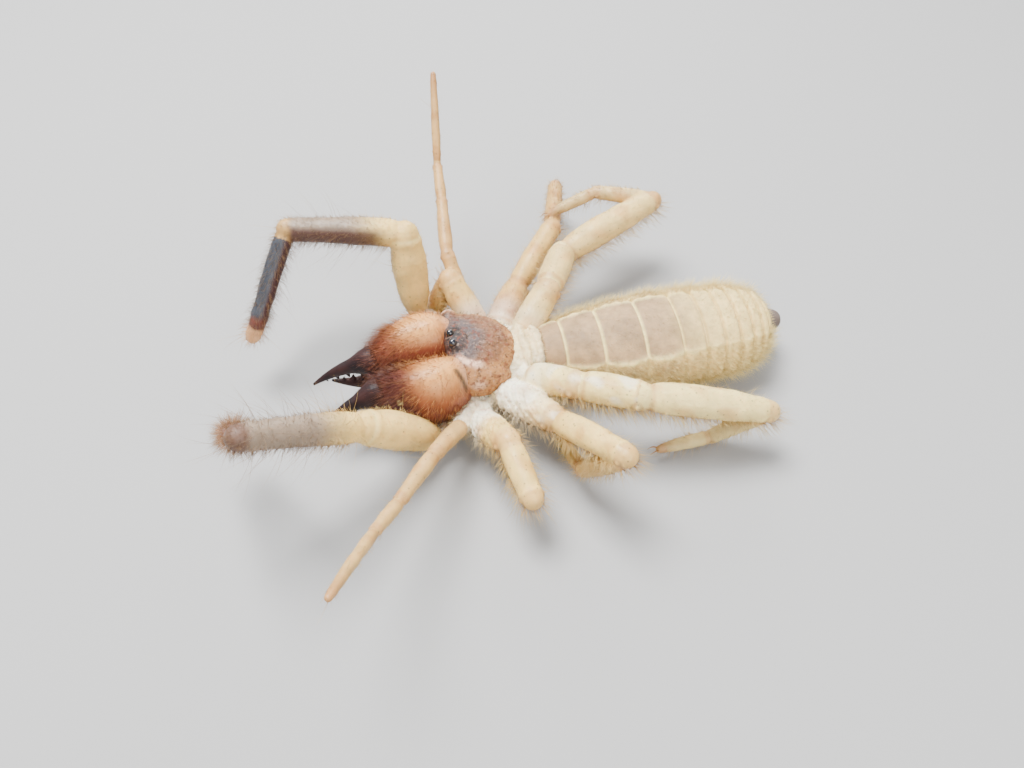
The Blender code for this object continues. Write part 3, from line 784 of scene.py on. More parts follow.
def dark_tuft_and_shade(points):
    """Where the hollow between the second and third legs of the left side is dark: dark hair, deepened
    with painted shade.
    """
    offset = (points - np.array(TUFT_AND_SHADE)) / np.array(TUFT_AND_SHADE_SIZE)
    return 1.0 - ramp(np.linalg.norm(offset, axis=1), 0.6, 1.1)


def trunk_colours(points):
    ahead, aside, height = head_axes(points)
    colour = blend(CHALK, CREAM, 0.6 * ramp(height, 5.8, 7.2))
    # Painted shade: umber low on the trunk's sides, down among the leg bases.
    hollow = ramp(-height, -2.6, -1.0) * ramp(np.abs(aside), 2.4, 3.6)
    colour = blend(colour, UMBER, 0.5 * hollow)
    side = ramp(ahead, 3.5, 5.5) * ramp(np.abs(aside), 2.4, 3.4)
    colour = blend(colour, TAN, 0.25 * side)
    # Dark hair and painted shade in the hollow between the left second and third legs.
    return blend(colour, DARK_HAIR_AND_SHADE, 0.9 * dark_tuft_and_shade(points))


def segment_share(behind):
    """Which abdomen segment a point lies in, and how far from its front edge to its rear."""
    edges = np.concatenate(([0.0], np.cumsum(SEGMENT_LENGTHS), [sum(SEGMENT_LENGTHS) + ABDOMEN_END]))
    index = np.clip(np.searchsorted(edges, behind, side="right") - 1, 0, len(edges) - 2)
    return index, (behind - edges[index]) / (edges[index + 1] - edges[index])


def plate_edge_angle(behind):
    """How far down each flank the back plates reach, in degrees from the top: a scallop per segment."""
    _, share = segment_share(behind)
    scallop = 3.5 * np.sin(math.pi * share) * (1.0 - ramp(behind, 14.0, 18.0))
    return TERGITE_HALF_ANGLE - 6.0 * ramp(behind, 6.0, 18.0) + scallop


def flank_angle(behind, across, height):
    """Degrees below the edge of the back plates; negative on them."""
    angle = np.degrees(np.arctan2(across, height - ABDOMEN_MIDDLE))
    return np.abs(angle - ABDOMEN_ROLL) - plate_edge_angle(behind)


def abdomen_colours(points):
    """Dusty back plates with pale borders between straw-coloured flanks, with painted shade below the
    plates' edge and in the rear folds.
    """
    behind, across, height = abdomen_axes(points)
    index, share = segment_share(behind)
    below = flank_angle(behind, across, height)
    plate = 1.0 - ramp(below, -3.0, 2.0)
    rear = ramp(behind, 12.0, 20.0)
    colour = blend(STRAW, CREAM, ramp(-height, -3.6, -1.2))
    within = np.sin(math.pi * np.clip(share, 0.0, 1.0))
    # Painted shade: a dusty darker band on the flank below the plates' edge.
    shade = np.exp(-((below - 12.0) / 9.0) ** 2) * (1.0 - rear) * within
    colour = blend(colour, DUSTY * 0.9, 0.6 * shade)
    border = np.maximum(1.0 - ramp(share, 0.0, 0.08), ramp(share, 0.95, 1.0))
    dusty = blend(DUSTY, DUSTY * 0.72, ramp(wobble(points, 0.9), -0.1, 0.7))
    colour = blend(colour, dusty, plate * (1.0 - 0.6 * rear) * (1.0 - border))
    colour = blend(colour, DUSTY * 0.7 + ORANGE * 0.12, 0.6 * plate * (index == 0))
    middle = np.exp(-((across - 1.2) / 1.8) ** 2) * plate * (1.0 - rear)
    colour = blend(colour, DUSTY * 0.75, 0.35 * middle)
    colour = blend(colour, IVORY * 0.5 + CREAM * 0.5, 0.6 * rear)
    # Painted shade: the folds between the rear rolls are darker instead of pale.
    edge = blend(IVORY, DUSTY * 0.85, rear)
    colour = blend(colour, edge, 0.75 * border * plate)
    folds = border * ramp(below, 0.0, 4.0) * (1.0 - ramp(below, 45.0, 70.0))
    colour = blend(colour, IVORY, 0.5 * folds)
    return blend(colour, IVORY, 0.65 * np.exp(-((below - 1.0) / 3.5) ** 2) * (1.0 - 0.6 * rear))


def write_markings(mesh, colours):
    opaque_colours = np.ones((len(colours), 4), np.float32)
    opaque_colours[:, :3] = colours
    attribute = mesh.color_attributes.new("markings", "FLOAT_COLOR", "POINT")
    attribute.data.foreach_set("color", opaque_colours.ravel())


def paint(piece, colours_of):
    write_markings(piece.data, colours_of(vertex_points(piece)))


def one_colour(colour):
    return lambda points: np.tile(colour, (len(points), 1))


# Materials


def new_group(name, inputs, outputs):
    group = bpy.data.node_groups.new(name, "ShaderNodeTree")
    for label, kind, value in inputs:
        socket = group.interface.new_socket(label, in_out="INPUT", socket_type=kind)
        socket.default_value = value
    for label, kind in outputs:
        group.interface.new_socket(label, in_out="OUTPUT", socket_type=kind)
    return group, group.nodes.new("NodeGroupInput"), group.nodes.new("NodeGroupOutput")


def feed(tree, socket, value):
    """Links a socket to the one given as its value, or sets it to a constant."""
    if isinstance(value, bpy.types.NodeSocket):
        tree.links.new(value, socket)
    else:
        socket.default_value = value


def wire(tree, node, **inputs):
    """Feeds a node's inputs by name, with _ for the spaces in a name."""
    for label, value in inputs.items():
        feed(tree, node.inputs[label.replace("_", " ")], value)
    return node


def add_node(tree, kind, **inputs):
    return wire(tree, tree.nodes.new(kind), **inputs)


def own_place(tree):
    return tree.nodes.new("ShaderNodeTexCoord").outputs["Object"]


def noise(tree, scale, detail, roughness=0.55):
    """Noise on the object's own coordinates, with its scale in spots per metre."""
    texture = add_node(
        tree, "ShaderNodeTexNoise",
        Vector=own_place(tree), Scale=scale, Detail=detail, Roughness=roughness,
    )
    return texture.outputs["Fac"]


def cells(tree, scale):
    """How far a point is from the middle of its cell, for dots and pits."""
    texture = add_node(tree, "ShaderNodeTexVoronoi", Vector=own_place(tree), Scale=scale)
    return texture.outputs["Distance"]


def map_range(tree, value, low, high, to_low, to_high):
    node = add_node(
        tree, "ShaderNodeMapRange",
        Value=value, From_Min=low, From_Max=high, To_Min=to_low, To_Max=to_high,
    )
    return node.outputs["Result"]


def combine(tree, operation, first, second):
    node = tree.nodes.new("ShaderNodeMath")
    node.operation = operation
    tree.links.new(first, node.inputs[0])
    tree.links.new(second, node.inputs[1])
    return node.outputs["Value"]


def mix(tree, factor, first, second):
    """Mixes two colours. Each argument is a socket or a plain value."""
    node = tree.nodes.new("ShaderNodeMix")
    node.data_type = "RGBA"
    colour_sockets = [socket for socket in node.inputs if socket.type == "RGBA"]
    for socket, value in zip((node.inputs[0], *colour_sockets), (factor, first, second)):
        feed(tree, socket, value)
    return [socket for socket in node.outputs if socket.type == "RGBA"][0]


def opaque(colour):
    return (*colour, 1.0)


def mottle_group():
    """Lighter and darker patches over the markings, with small dark sockets, as on dusty cuticle."""
    inputs = (
        ("Colour", "NodeSocketColor", (0.8, 0.8, 0.8, 1.0)),
        ("Patch scale", "NodeSocketFloat", 900.0),
        ("Strength", "NodeSocketFloat", 0.3),
        ("Sockets", "NodeSocketFloat", 0.3),
    )
    group, entry, leaving = new_group("cuticle_mottle", inputs, (("Colour", "NodeSocketColor"),))
    patches = noise(group, entry.outputs["Patch scale"], 5.0, 0.6)
    scaled = group.nodes.new("ShaderNodeVectorMath")
    scaled.operation = "SCALE"
    group.links.new(entry.outputs["Colour"], scaled.inputs[0])
    group.links.new(map_range(group, patches, 0.35, 0.65, 0.6, 1.2), scaled.inputs["Scale"])
    shaded = mix(group, entry.outputs["Strength"], entry.outputs["Colour"], scaled.outputs["Vector"])
    dot = map_range(group, cells(group, 1500.0), 0.08, 0.17, 1.0, 0.0)
    weight = combine(group, "MULTIPLY", dot, entry.outputs["Sockets"])
    group.links.new(mix(group, weight, shaded, opaque(UMBER * 0.6)), leaving.inputs["Colour"])
    return group


def pores_group():
    """Fine wrinkles with the small sockets that bristles stand in."""
    inputs = (
        ("Wrinkle scale", "NodeSocketFloat", 2500.0),
        ("Pore scale", "NodeSocketFloat", 2200.0),
        ("Pore depth", "NodeSocketFloat", 0.5),
    )
    group, entry, leaving = new_group("wrinkles_and_pores", inputs, (("Height", "NodeSocketFloat"),))
    wrinkles = noise(group, entry.outputs["Wrinkle scale"], 4.0, 0.5)
    pit = map_range(group, cells(group, entry.outputs["Pore scale"]), 0.05, 0.22, 0.0, 1.0)
    depth = combine(group, "MULTIPLY", pit, entry.outputs["Pore depth"])
    group.links.new(combine(group, "ADD", wrinkles, depth), leaving.inputs["Height"])
    return group


MOTTLE = mottle_group()
PORES = pores_group()


def use_group(tree, group, **inputs):
    node = tree.nodes.new("ShaderNodeGroup")
    node.node_tree = group
    return wire(tree, node, **inputs)


def markings_colour(tree):
    node = tree.nodes.new("ShaderNodeAttribute")
    node.attribute_name = "markings"
    return node.outputs["Color"]


def bumped(tree, depth, strength, **pores):
    """The normal of a wrinkled, pitted surface whose relief is this many millimetres deep."""
    height = use_group(tree, PORES, **pores).outputs["Height"]
    bump = add_node(tree, "ShaderNodeBump", Height=height, Distance=depth * MM, Strength=strength)
    return bump.outputs["Normal"]


def new_material(name):
    made = bpy.data.materials.new(name)
    made.use_nodes = True
    return made, made.node_tree, made.node_tree.nodes["Principled BSDF"]


def cuticle_material(name, mottle, patches, sockets, wrinkles, roughness, depth):
    """Waxy, slightly see-through skin of the legs, jaws, trunk and abdomen."""
    made, tree, shader = new_material(name)
    tone = use_group(
        tree, MOTTLE,
        Colour=markings_colour(tree), Patch_scale=patches, Strength=mottle, Sockets=sockets,
    )
    sheen = noise(tree, 1500.0, 3.0)
    wire(
        tree, shader,
        Base_Color=tone.outputs["Colour"],
        Roughness=map_range(tree, sheen, 0.3, 0.7, roughness - 0.08, roughness + 0.12),
        Normal=bumped(tree, depth, 0.5, Wrinkle_scale=wrinkles),
        Subsurface_Weight=0.2,
        Subsurface_Radius=(1.0, 0.55, 0.3),
        Subsurface_Scale=0.5 * MM,
        Specular_IOR_Level=0.35,
    )
    return made


def plate_material():
    """The head shield: dark, dusted with pale grains and rusty specks."""
    made, tree, shader = new_material("head_shield")
    grains = map_range(tree, noise(tree, 3400.0, 3.0, 0.7), 0.54, 0.66, 0.0, 0.4)
    dusted = mix(tree, grains, markings_colour(tree), opaque(PINK * 0.6))
    specks = map_range(tree, noise(tree, 1900.0, 2.0, 0.6), 0.53, 0.64, 0.0, 0.65)
    rusty = mix(tree, specks, dusted, opaque(RUST))
    pits = map_range(tree, noise(tree, 2800.0, 2.0, 0.5), 0.42, 0.3, 0.0, 0.7)
    wire(
        tree, shader,
        Base_Color=mix(tree, pits, rusty, opaque(UMBER * 0.4)),
        Roughness=map_range(tree, noise(tree, 1900.0, 2.0), 0.35, 0.65, 0.35, 0.6),
        Normal=bumped(tree, 0.12, 0.7, Wrinkle_scale=3800.0),
        Specular_IOR_Level=0.3,
    )
    return made


def horn_material():
    """Glossy black-maroon fingers, redder in patches."""
    made, tree, shader = new_material("finger_horn")
    tint = map_range(tree, noise(tree, 420.0, 2.0), 0.35, 0.65, 0.0, 1.0)
    wire(
        tree, shader,
        Base_Color=mix(tree, tint, opaque(DARK_JAW * 0.3), opaque(MAROON * 0.6)),
        Roughness=map_range(tree, noise(tree, 2600.0, 4.0), 0.3, 0.7, 0.5, 0.65),
        Normal=bumped(tree, 0.03, 0.4, Wrinkle_scale=1800.0, Pore_depth=0.15),
        Specular_IOR_Level=0.3,
    )
    return made


def eye_material():
    made, tree, shader = new_material("eye_lens")
    tint = map_range(tree, noise(tree, 700.0, 1.0), 0.4, 0.6, 0.0, 1.0)
    colour = mix(tree, tint, (0.004, 0.004, 0.006, 1.0), (0.012, 0.012, 0.02, 1.0))
    wire(tree, shader, Base_Color=colour, Roughness=0.06, Coat_Weight=1.0, Coat_Roughness=0.03)
    return made


def bristle_material():
    """Bristles carry the markings of the skin that they grow from."""
    made, tree, shader = new_material("bristles")
    wire(tree, shader, Base_Color=markings_colour(tree), Roughness=0.4, Specular_IOR_Level=0.4)
    return made


# Coat


def in_order(corners):
    """Triangles sorted by where they lie, and each one's corners too, with its facing kept."""
    place = corners @ (1.0, 0.618, 0.377)
    turned = (place.argmin(axis=1)[:, None] + np.arange(3)) % 3
    corners = np.take_along_axis(corners, turned[:, :, None], axis=1)
    return corners[np.argsort(place.sum(axis=1))]


class Ground:
    """The small faces of a skin that bristles grow from.

    A skin drawn out ring by ring numbers its faces anew in each run, so its faces are sorted.
    """

    def __init__(self, piece, drawn_out=False):
        mesh = piece.data
        mesh.calc_loop_triangles()
        corners = np.empty(len(mesh.loop_triangles) * 3, np.int32)
        mesh.loop_triangles.foreach_get("vertices", corners)
        self.corners = vertex_points(piece)[corners.reshape(-1, 3)]
        if drawn_out:
            self.corners = in_order(self.corners)
        first, second, third = self.corners.transpose(1, 0, 2)
        across = np.cross(second - first, third - first)
        size = np.linalg.norm(across, axis=1)
        self.areas = size / 2.0
        self.normals = across / np.maximum(size, 1e-12)[:, None]
        self.points = self.corners.mean(axis=1)

    def pick(self, density):
        """Random roots, with density given as bristles per square millimetre of each face."""
        wanted = self.areas * density * ramp(self.points[:, 2], 0.1, 0.5)
        count = int(wanted.sum())
        chosen = RNG.choice(len(wanted), size=count, p=wanted / wanted.sum())
        weights = RNG.dirichlet((1.0, 1.0, 1.0), count)
        roots = (self.corners[chosen] * weights[:, :, None]).sum(axis=1)
        return chosen, roots


def bristle_shape(steps):
    """How a bristle's rings are joined into triangles, and how high each vertex is on it."""
    faces = [(2, 1, 0)]
    for ring in range(steps - 1):
        for i in range(3):
            low = ring * 3 + i
            beside = ring * 3 + (i + 1) % 3
            faces += [(low, beside, beside + 3), (low, beside + 3, low + 3)]
    top = (steps - 1) * 3
    faces += [(top + i, top + (i + 1) % 3, top + 3) for i in range(3)]
    rise = [ring / steps for ring in range(steps) for _ in range(3)] + [1.0]
    return np.array(faces), np.array(rise)


def grow_bristles(name, material, slot, roots, normals, lie, atlas, colours, look, steps=2):
    """Thin tapered three-sided bristles over a skin, in pieces of at most MOST_TRIANGLES.

    look holds each bristle's length, width, lean from the normal in radians, curl towards the lie
    and how much its tip takes the tip colour. atlas holds each root's place on an unwrap of the skin.
    """
    count = len(roots)
    length, width, lean, curl, pale = (np.broadcast_to(look[key], count) for key in LOOK_KEYS)
    lie = unit(lie - normals * (lie * normals).sum(axis=1)[:, None])
    jitter = RNG.normal(0.0, 0.15, (count, 3))
    start = unit(normals * np.cos(lean)[:, None] + lie * np.sin(lean)[:, None] + jitter)
    bend = (lie + jitter * 1.5 - np.array(UP) * 0.2) * curl[:, None]
    side = unit(np.cross(start, normals + RNG.normal(0.0, 0.05, (count, 3))))
    other = np.cross(start, side)
    pattern, rise = bristle_shape(steps)
    size = len(rise)
    verts = np.empty((count, size, 3))
    for index, t in enumerate(rise):
        spine = roots - normals * 0.05 + (start * t + bend * t ** 2) * length[:, None]
        turn = 2.0 * math.pi * (index % 3) / 3.0
        spread = side * math.cos(turn) + other * math.sin(turn)
        taper = (1.0 - t) ** 0.7 * 0.5
        verts[:, index] = spine + spread * (width * taper)[:, None]
    verts[:, :, 2] = np.maximum(verts[:, :, 2], 0.02)
    shade = colours * RNG.uniform(0.65, 1.1, count)[:, None]
    tips = blend(shade, look.get("tip", IVORY), pale)
    most = MOST_TRIANGLES // len(pattern)
    for number, first in enumerate(range(0, count, most), 1):
        part = slice(first, min(first + most, count))
        points = (verts[part].reshape(-1, 3) + np.array(SHIFT)) * MM
        amount = len(points) // size
        faces = (pattern[None] + (np.arange(amount) * size)[:, None, None]).reshape(-1, 3)
        mesh = bpy.data.meshes.new(name)
        mesh.from_pydata(points.tolist(), [], faces.tolist())
        towards_tip = rise[None, :, None]
        mixed = shade[part, None] * (1.0 - towards_tip) + tips[part, None] * towards_tip
        write_markings(mesh, mixed.reshape(-1, 3))
        spots = np.empty((amount, size, 2))
        spots[:, :, 0] = atlas[part, None, 0] + (np.arange(size) % 3 - 1.0)[None] * BAKE_PATCH
        spots[:, :, 1] = atlas[part, None, 1] + (rise[None] - 0.5) * 2.0 * BAKE_PATCH
        layer = mesh.uv_layers.new(name="OFBake")
        layer.data.foreach_set("uv", spots.reshape(-1, 2)[faces.ravel()].astype(np.float32).ravel())
        piece = bpy.data.objects.new(f"{name}_{number}", mesh)
        bpy.context.scene.collection.objects.link(piece)
        mesh.shade_smooth()
        finish_piece(piece, material, slot)


def cell_place(region, around, along, side):
    """A place on an unwrap whose regions fill a square of side by side cells."""
    column = region % side
    row = region // side
    u = (column + 0.03 + 0.94 * np.clip(around, 0.0, 1.0)) / side
    v = (row + 0.03 + 0.94 * np.clip(along, 0.0, 1.0)) / side
    return np.column_stack((u, v))


def barrel_place(along, across, height, middle, start, length):
    """A place on the unwrap of a barrel-shaped skin: round it, then along it."""
    around = (np.arctan2(across, height - middle) / math.pi + 1.0) / 2.0
    return cell_place(np.zeros(len(around)), around, (along - start) / length, 1)


# Pieces


def limb_coat_look(segment, share, around, down):
    """Bristles per square millimetre, their length, and how many long ones, on one segment."""
    under = ramp(down, -0.25, 0.4)
    whole = np.ones(len(share))
    if segment.kind == "palp":
        inner = ramp(np.cos(around - INNER_TURN * segment.hand), 0.0, 0.6)
        if segment.part == "femur":
            return 5.0 + 3.0 * under, 0.5 * whole, 0.15 * whole
        if segment.part == "tibia":
            many = 1.8 if segment.hand < 0.0 else 0.5
            return 16.0 + 4.0 * np.maximum(inner, under), 0.5 + 0.45 * under, many * whole
        shaggy = 1.0 if segment.hand > 0.0 else 1.5
        return 18.0 * whole, (0.75 + 0.35 * np.maximum(inner, under)) * shaggy, 0.4 * whole
    if segment.kind == "leg_1":
        return 7.0 * whole, 0.35 + 0.15 * under, 0.1 * whole
    if segment.part == "trochanter":
        return 7.0 + 10.0 * under, 0.45 + 1.2 * under, 0.15 * whole
    folded = segment.kind in ("leg_2", "leg_3") and segment.part == "tibia"
    if folded or segment.part in ("tarsus", "metatarsus"):
        return 13.0 * whole, 0.6 + 0.5 * under, 0.2 * whole
    return 5.0 + 15.0 * under, 0.4 + 1.6 * under, 0.2 * whole


def build_limbs(side, material, coat_material):
    """All five limbs of one side as one skin, with their coat."""
    names = [name for name in POSES if name.endswith(side)]
    segments = [segment for name in names for segment in limb_segments(name)]
    forms = [limb_form(segment) for segment in segments]
    for segment, after in zip(segments, segments[1:]):
        if after.limb == segment.limb and segment.kind != "palp":
            forms += [round_form(centre, (size, size, size)) for centre, size in knobs_of(segment)]
    skin = grow_together(f"limb_skin_{side}", forms, LIMB_VOXEL, 2)
    roughen(skin, 0.13, 1.6)
    points = vertex_points(skin)
    which, share, _, _ = nearest_segment(points, segments)
    crusty = [s.limb in ("leg_2_left", "leg_3_left") and s.part == "trochanter" for s in segments]
    crusted = np.array(crusty)[which] * (1.0 - ramp(share, 0.75, 0.95))
    lift(skin, crusted * (0.12 * wobble(points, 0.22) + 0.1 * wobble(points, 0.1)))
    paint(skin, lambda points: limb_colours(points, segments))
    finish_piece(skin, material, "leg_cuticle", *(f"{s.limb}_{s.part}" for s in segments))
    ground = Ground(skin)
    which, share, around, down = nearest_segment(ground.points, segments)
    colours = limb_colours(ground.points, segments)
    density, reach, long_density, long_reach, pale = np.zeros((5, len(which)))
    for index, segment in enumerate(segments):
        mine = which == index
        look = limb_coat_look(segment, share[mine], around[mine], down[mine])
        density[mine], reach[mine], long_density[mine] = look
        shortened = 0.5 if segment.limb == "palp_left" and segment.part != "tibia" else 1.0
        long_reach[mine] = LONG_HAIRS[segment.kind] * shortened
        pale[mine] = 0.1 if segment.kind == "palp" and segment.part != "femur" else 0.5
    along = np.array([segment.along for segment in segments])

    def grow(name, density, length, width, lean, curl, steps):
        chosen, roots = ground.pick(density)
        turn = (around[chosen] / math.pi + 1.0) / 2.0
        look = {
            "length": length[chosen] * RNG.uniform(0.5, 1.25, len(chosen)),
            "width": width,
            "lean": np.radians(RNG.uniform(*lean, len(chosen))),
            "curl": curl,
            "pale": pale[chosen],
        }
        grow_bristles(
            name, coat_material, "leg_cuticle", roots, ground.normals[chosen], along[which[chosen]],
            cell_place(which[chosen], turn, share[chosen], 5), colours[chosen], look, steps,
        )

    # In the hollow between the left legs the hairs grow denser, longer and darker; their dark colour is
    # partly painted shade.
    tuft_and_shade = dark_tuft_and_shade(ground.points)
    density = density + 25.0 * tuft_and_shade
    reach = np.maximum(reach, 1.1 * tuft_and_shade)
    pale = pale * (1.0 - np.minimum(3.0 * tuft_and_shade, 1.0))
    colours = blend(colours, TAN * 0.8, 0.35 * (1.0 - tuft_and_shade))
    grow(f"limb_coat_{side}", density, reach, 0.033, (5.0, 40.0), 0.2, 2)
    grow(f"limb_setae_{side}", long_density, long_reach, 0.03, (5.0, 35.0), 0.3, 5)


def build_malleoli(material):
    """Small stalked fans that hang in a row under the base of each hind leg."""
    forms = []
    for side in ("right", "left"):
        segment = limb_segments(f"leg_4_{side}")[0]
        for share in MALLEOLUS_SHARES:
            root = segment.start.lerp(segment.end, share) - UP
            hang = (-UP * 0.92 + segment.along * 0.25).normalized()
            reach = (0.0, 0.2, 0.7, 1.2, 1.6, 1.9, 2.1)
            radii = (0.18, 0.16, 0.14, 0.24, 0.45, 0.6, 0.3)
            line = [root + hang * step for step in reach]
            forms.append(path_form(line, radii, 12, 0.45))
    fans = smooth_shaded(join("malleoli", forms))
    paint(fans, one_colour(CHALK))
    finish_piece(fans, material, "leg_cuticle")


def build_trunk(material, coat_material):
    rows = (
        (-3.4, 0.4, 5.4, 3.0),
        (-3.0, 1.8, 6.4, 2.0),
        (-2.0, 2.9, 7.0, 0.6),
        (-0.2, 3.7, 7.3, 0.1),
        (2.2, 4.1, 7.4, 0.05),
        (4.4, 3.9, 7.2, 0.3),
        (6.0, 3.0, 6.4, 0.9),
        (6.7, 0.8, 4.9, 1.8),
    )
    forms = [extruded_form("prosoma", upright_stations(smooth_rows(rows, 3)), 32, HEAD_PLACE)]
    for start, length, half_width, top in ((0.55, 1.0, 3.1, 7.7), (1.85, 1.1, 2.7, 7.4)):
        band = (
            (-start - length - 0.1, 0.3, top - 0.5, top - 1.2),
            (-start - length + 0.1, half_width * 0.86, top - 0.25, top - 3.0),
            (-start - length / 2.0, half_width, top, top - 3.2),
            (-start - 0.15, half_width * 0.9, top - 0.25, top - 3.0),
            (-start + 0.1, 0.3, top - 0.6, top - 1.2),
        )
        forms.append(extruded_form("band", upright_stations(band), 32, HEAD_PLACE))
    for name, (root, bend, radius) in COXA_ROOTS.items():
        hip = Vector(POSES[name][0])
        root, bend = Vector(root), Vector(bend)
        for start, end, thick in ((root, bend, radius), (bend, hip, radius * 0.95)):
            piece = Segment(name, "coxa", start, end, (thick, thick, thick, thick * 0.9), UP)
            forms.append(limb_form(piece))
    skin = grow_together("trunk_skin", forms, TRUNK_VOXEL, 4)
    roughen(skin, 0.45, 0.7)
    press_to_floor(skin)
    paint(skin, trunk_colours)
    finish_piece(skin, material, "leg_cuticle", "prosoma", "mesopeltidium", "metapeltidium")
    ground = Ground(skin)
    ahead, aside, height = head_axes(ground.points)
    # In the hollow between the left legs the hairs grow denser, longer and darker; their dark colour is
    # partly painted shade.
    tuft_and_shade = dark_tuft_and_shade(ground.points)
    chosen, roots = ground.pick(9.0 + 5.0 * ramp(np.abs(aside), 2.5, 4.0) + 25.0 * tuft_and_shade)
    outward = unit(roots * np.array((1.0, 1.0, 0.0)) - np.array(head_point(1.5, 0.0, 0.0)))
    look = {
        "length": RNG.uniform(0.25, 0.75, len(chosen)) * (1.0 + 1.2 * tuft_and_shade[chosen]),
        "width": 0.05,
        "lean": np.radians(RNG.uniform(5.0, 50.0, len(chosen))),
        "curl": 0.2,
        "pale": 0.6 * (1.0 - np.minimum(3.0 * tuft_and_shade[chosen], 1.0)),
    }
    grow_bristles(
        "trunk_coat", coat_material, "leg_cuticle", roots, ground.normals[chosen], outward,
        barrel_place(ahead[chosen], aside[chosen], height[chosen], 3.6, -11.0, 26.0),
        trunk_colours(roots), look,
    )


def abdomen_girth(part):
    swell = math.sin(math.pi * min(1.0, 0.13 + 0.62 * part)) ** 0.75
    taper = 1.0 - max(0.0, (part - 0.8) / 0.2) ** 2 * 0.4
    return swell * taper


def build_abdomen(material, coat_material):
    total = sum(SEGMENT_LENGTHS) + ABDOMEN_END
    stations = []
    for i in range(ABDOMEN_RINGS + 1):
        part = i / ABDOMEN_RINGS
        girth = abdomen_girth(part)
        closing = math.sqrt(max(0.0, 1.0 - max(0.0, (part - 0.93) / 0.07) ** 2))
        closing = max(closing, 0.02) * min(1.0, 0.3 + 0.7 * part / 0.02)
        half_width = (ABDOMEN_HALF_WIDTH - ABDOMEN_COAT) * girth * closing
        tall = (ABDOMEN_TOP + 0.25) / 2.0 * (0.35 + 0.65 * girth)
        half_height = (tall - ABDOMEN_COAT * 0.8) * closing
        middle = (ABDOMEN_TOP - 0.25) / 2.0 + 0.35 * (1.0 - girth)
        stations.append((total * part, half_width, half_height, 0.0, middle))
    skin = extruded_form("abdomen_skin", stations, 140, ABDOMEN_PLACE)
    shape_abdomen(skin)
    smooth_shaded(skin)
    paint(skin, abdomen_colours)
    finish_piece(skin, material, "abdomen_cuticle", "abdomen")
    grow_abdomen_coat(skin, coat_material)


def shape_abdomen(skin):
    """Raises the back plates, sinks the folds between segments and wrinkles the soft flanks."""
    points = vertex_points(skin)
    behind, across, height = abdomen_axes(points)
    index, share = segment_share(behind)
    below = flank_angle(behind, across, height)
    plate = 1.0 - ramp(below, -2.0, 2.0)
    outward = unit(np.column_stack((across * 0.8, height - ABDOMEN_MIDDLE)))
    right = np.array(right_of(ABDOMEN_HEADING))
    direction = right[None] * outward[:, :1] + np.array(UP)[None] * outward[:, 1:]
    lengths = np.array((*SEGMENT_LENGTHS, ABDOMEN_END))[index]
    fold = np.exp(-((share * lengths) / 0.16) ** 2) + np.exp(-(((1.0 - share) * lengths) / 0.12) ** 2)
    rolls = ramp(behind, 12.0, 18.0)
    swell = (0.06 + 0.14 * rolls) * plate * np.sin(np.pi * share) ** 0.5
    overlap = 0.07 * plate * ramp(share, 0.3, 0.9)
    ridge = 0.14 * np.exp(-((below - 1.0) / 3.5) ** 2)
    wrinkle = 0.05 * (1.0 - plate) * np.sin(behind * 5.2 + 2.0 * np.sin(height * 1.7))
    puff = 0.14 * (1.0 - plate) * np.sin(np.pi * share)
    move = swell + overlap + ridge + wrinkle + puff - (0.14 + 0.2 * rolls) * fold
    inside = ramp(behind, -0.2, 0.6) * (1.0 - ramp(behind, 24.6, 25.4))
    set_vertex_points(skin, points + direction * (move * inside)[:, None])


def grow_abdomen_coat(skin, material):
    """Fine pale down that lies back, with a longer fringe along the flanks and rear."""
    ground = Ground(skin, drawn_out=True)
    behind, across, height = abdomen_axes(ground.points)
    flank = ramp(flank_angle(behind, across, height), -8.0, 12.0)
    rear = ramp(behind, 14.0, 24.0)
    chosen, roots = ground.pick(6.0 + 24.0 * flank + 10.0 * rear)
    back = np.tile(np.array(heading_vector(ABDOMEN_HEADING)), (len(chosen), 1))
    reach = 0.3 + 0.75 * flank[chosen] + 0.3 * rear[chosen]
    look = {
        "length": reach * RNG.uniform(0.5, 1.3, len(chosen)),
        "width": 0.034,
        "lean": np.radians(RNG.uniform(8.0, 52.0, len(chosen))),
        "curl": 0.3,
        "pale": 0.25 + 0.6 * np.maximum(flank, rear)[chosen],
    }
    grow_bristles(
        "abdomen_coat", material, "abdomen_cuticle", roots, ground.normals[chosen], back,
        barrel_place(behind[chosen], across[chosen], height[chosen], ABDOMEN_MIDDLE, 0.0, 26.0),
        abdomen_colours(roots), look,
    )


def build_anal_plate(material):
    length = sum(SEGMENT_LENGTHS) + ABDOMEN_END
    rows = (
        (length - 0.6, 0.9, 5.3, 3.4),
        (length, 1.15, 5.6, 3.1),
        (length + 0.6, 1.1, 5.5, 3.2),
        (length + 1.15, 0.8, 5.15, 3.6),
        (length + 1.4, 0.3, 4.7, 4.1),
    )
    plate = extruded_form("anal_plate", upright_stations(smooth_rows(rows, 4)), 28, ABDOMEN_PLACE)
    smooth_shaded(plate)
    paint(plate, one_colour(LILAC_GREY * 0.7))
    finish_piece(plate, material, "anal_plate", "anal_segment")


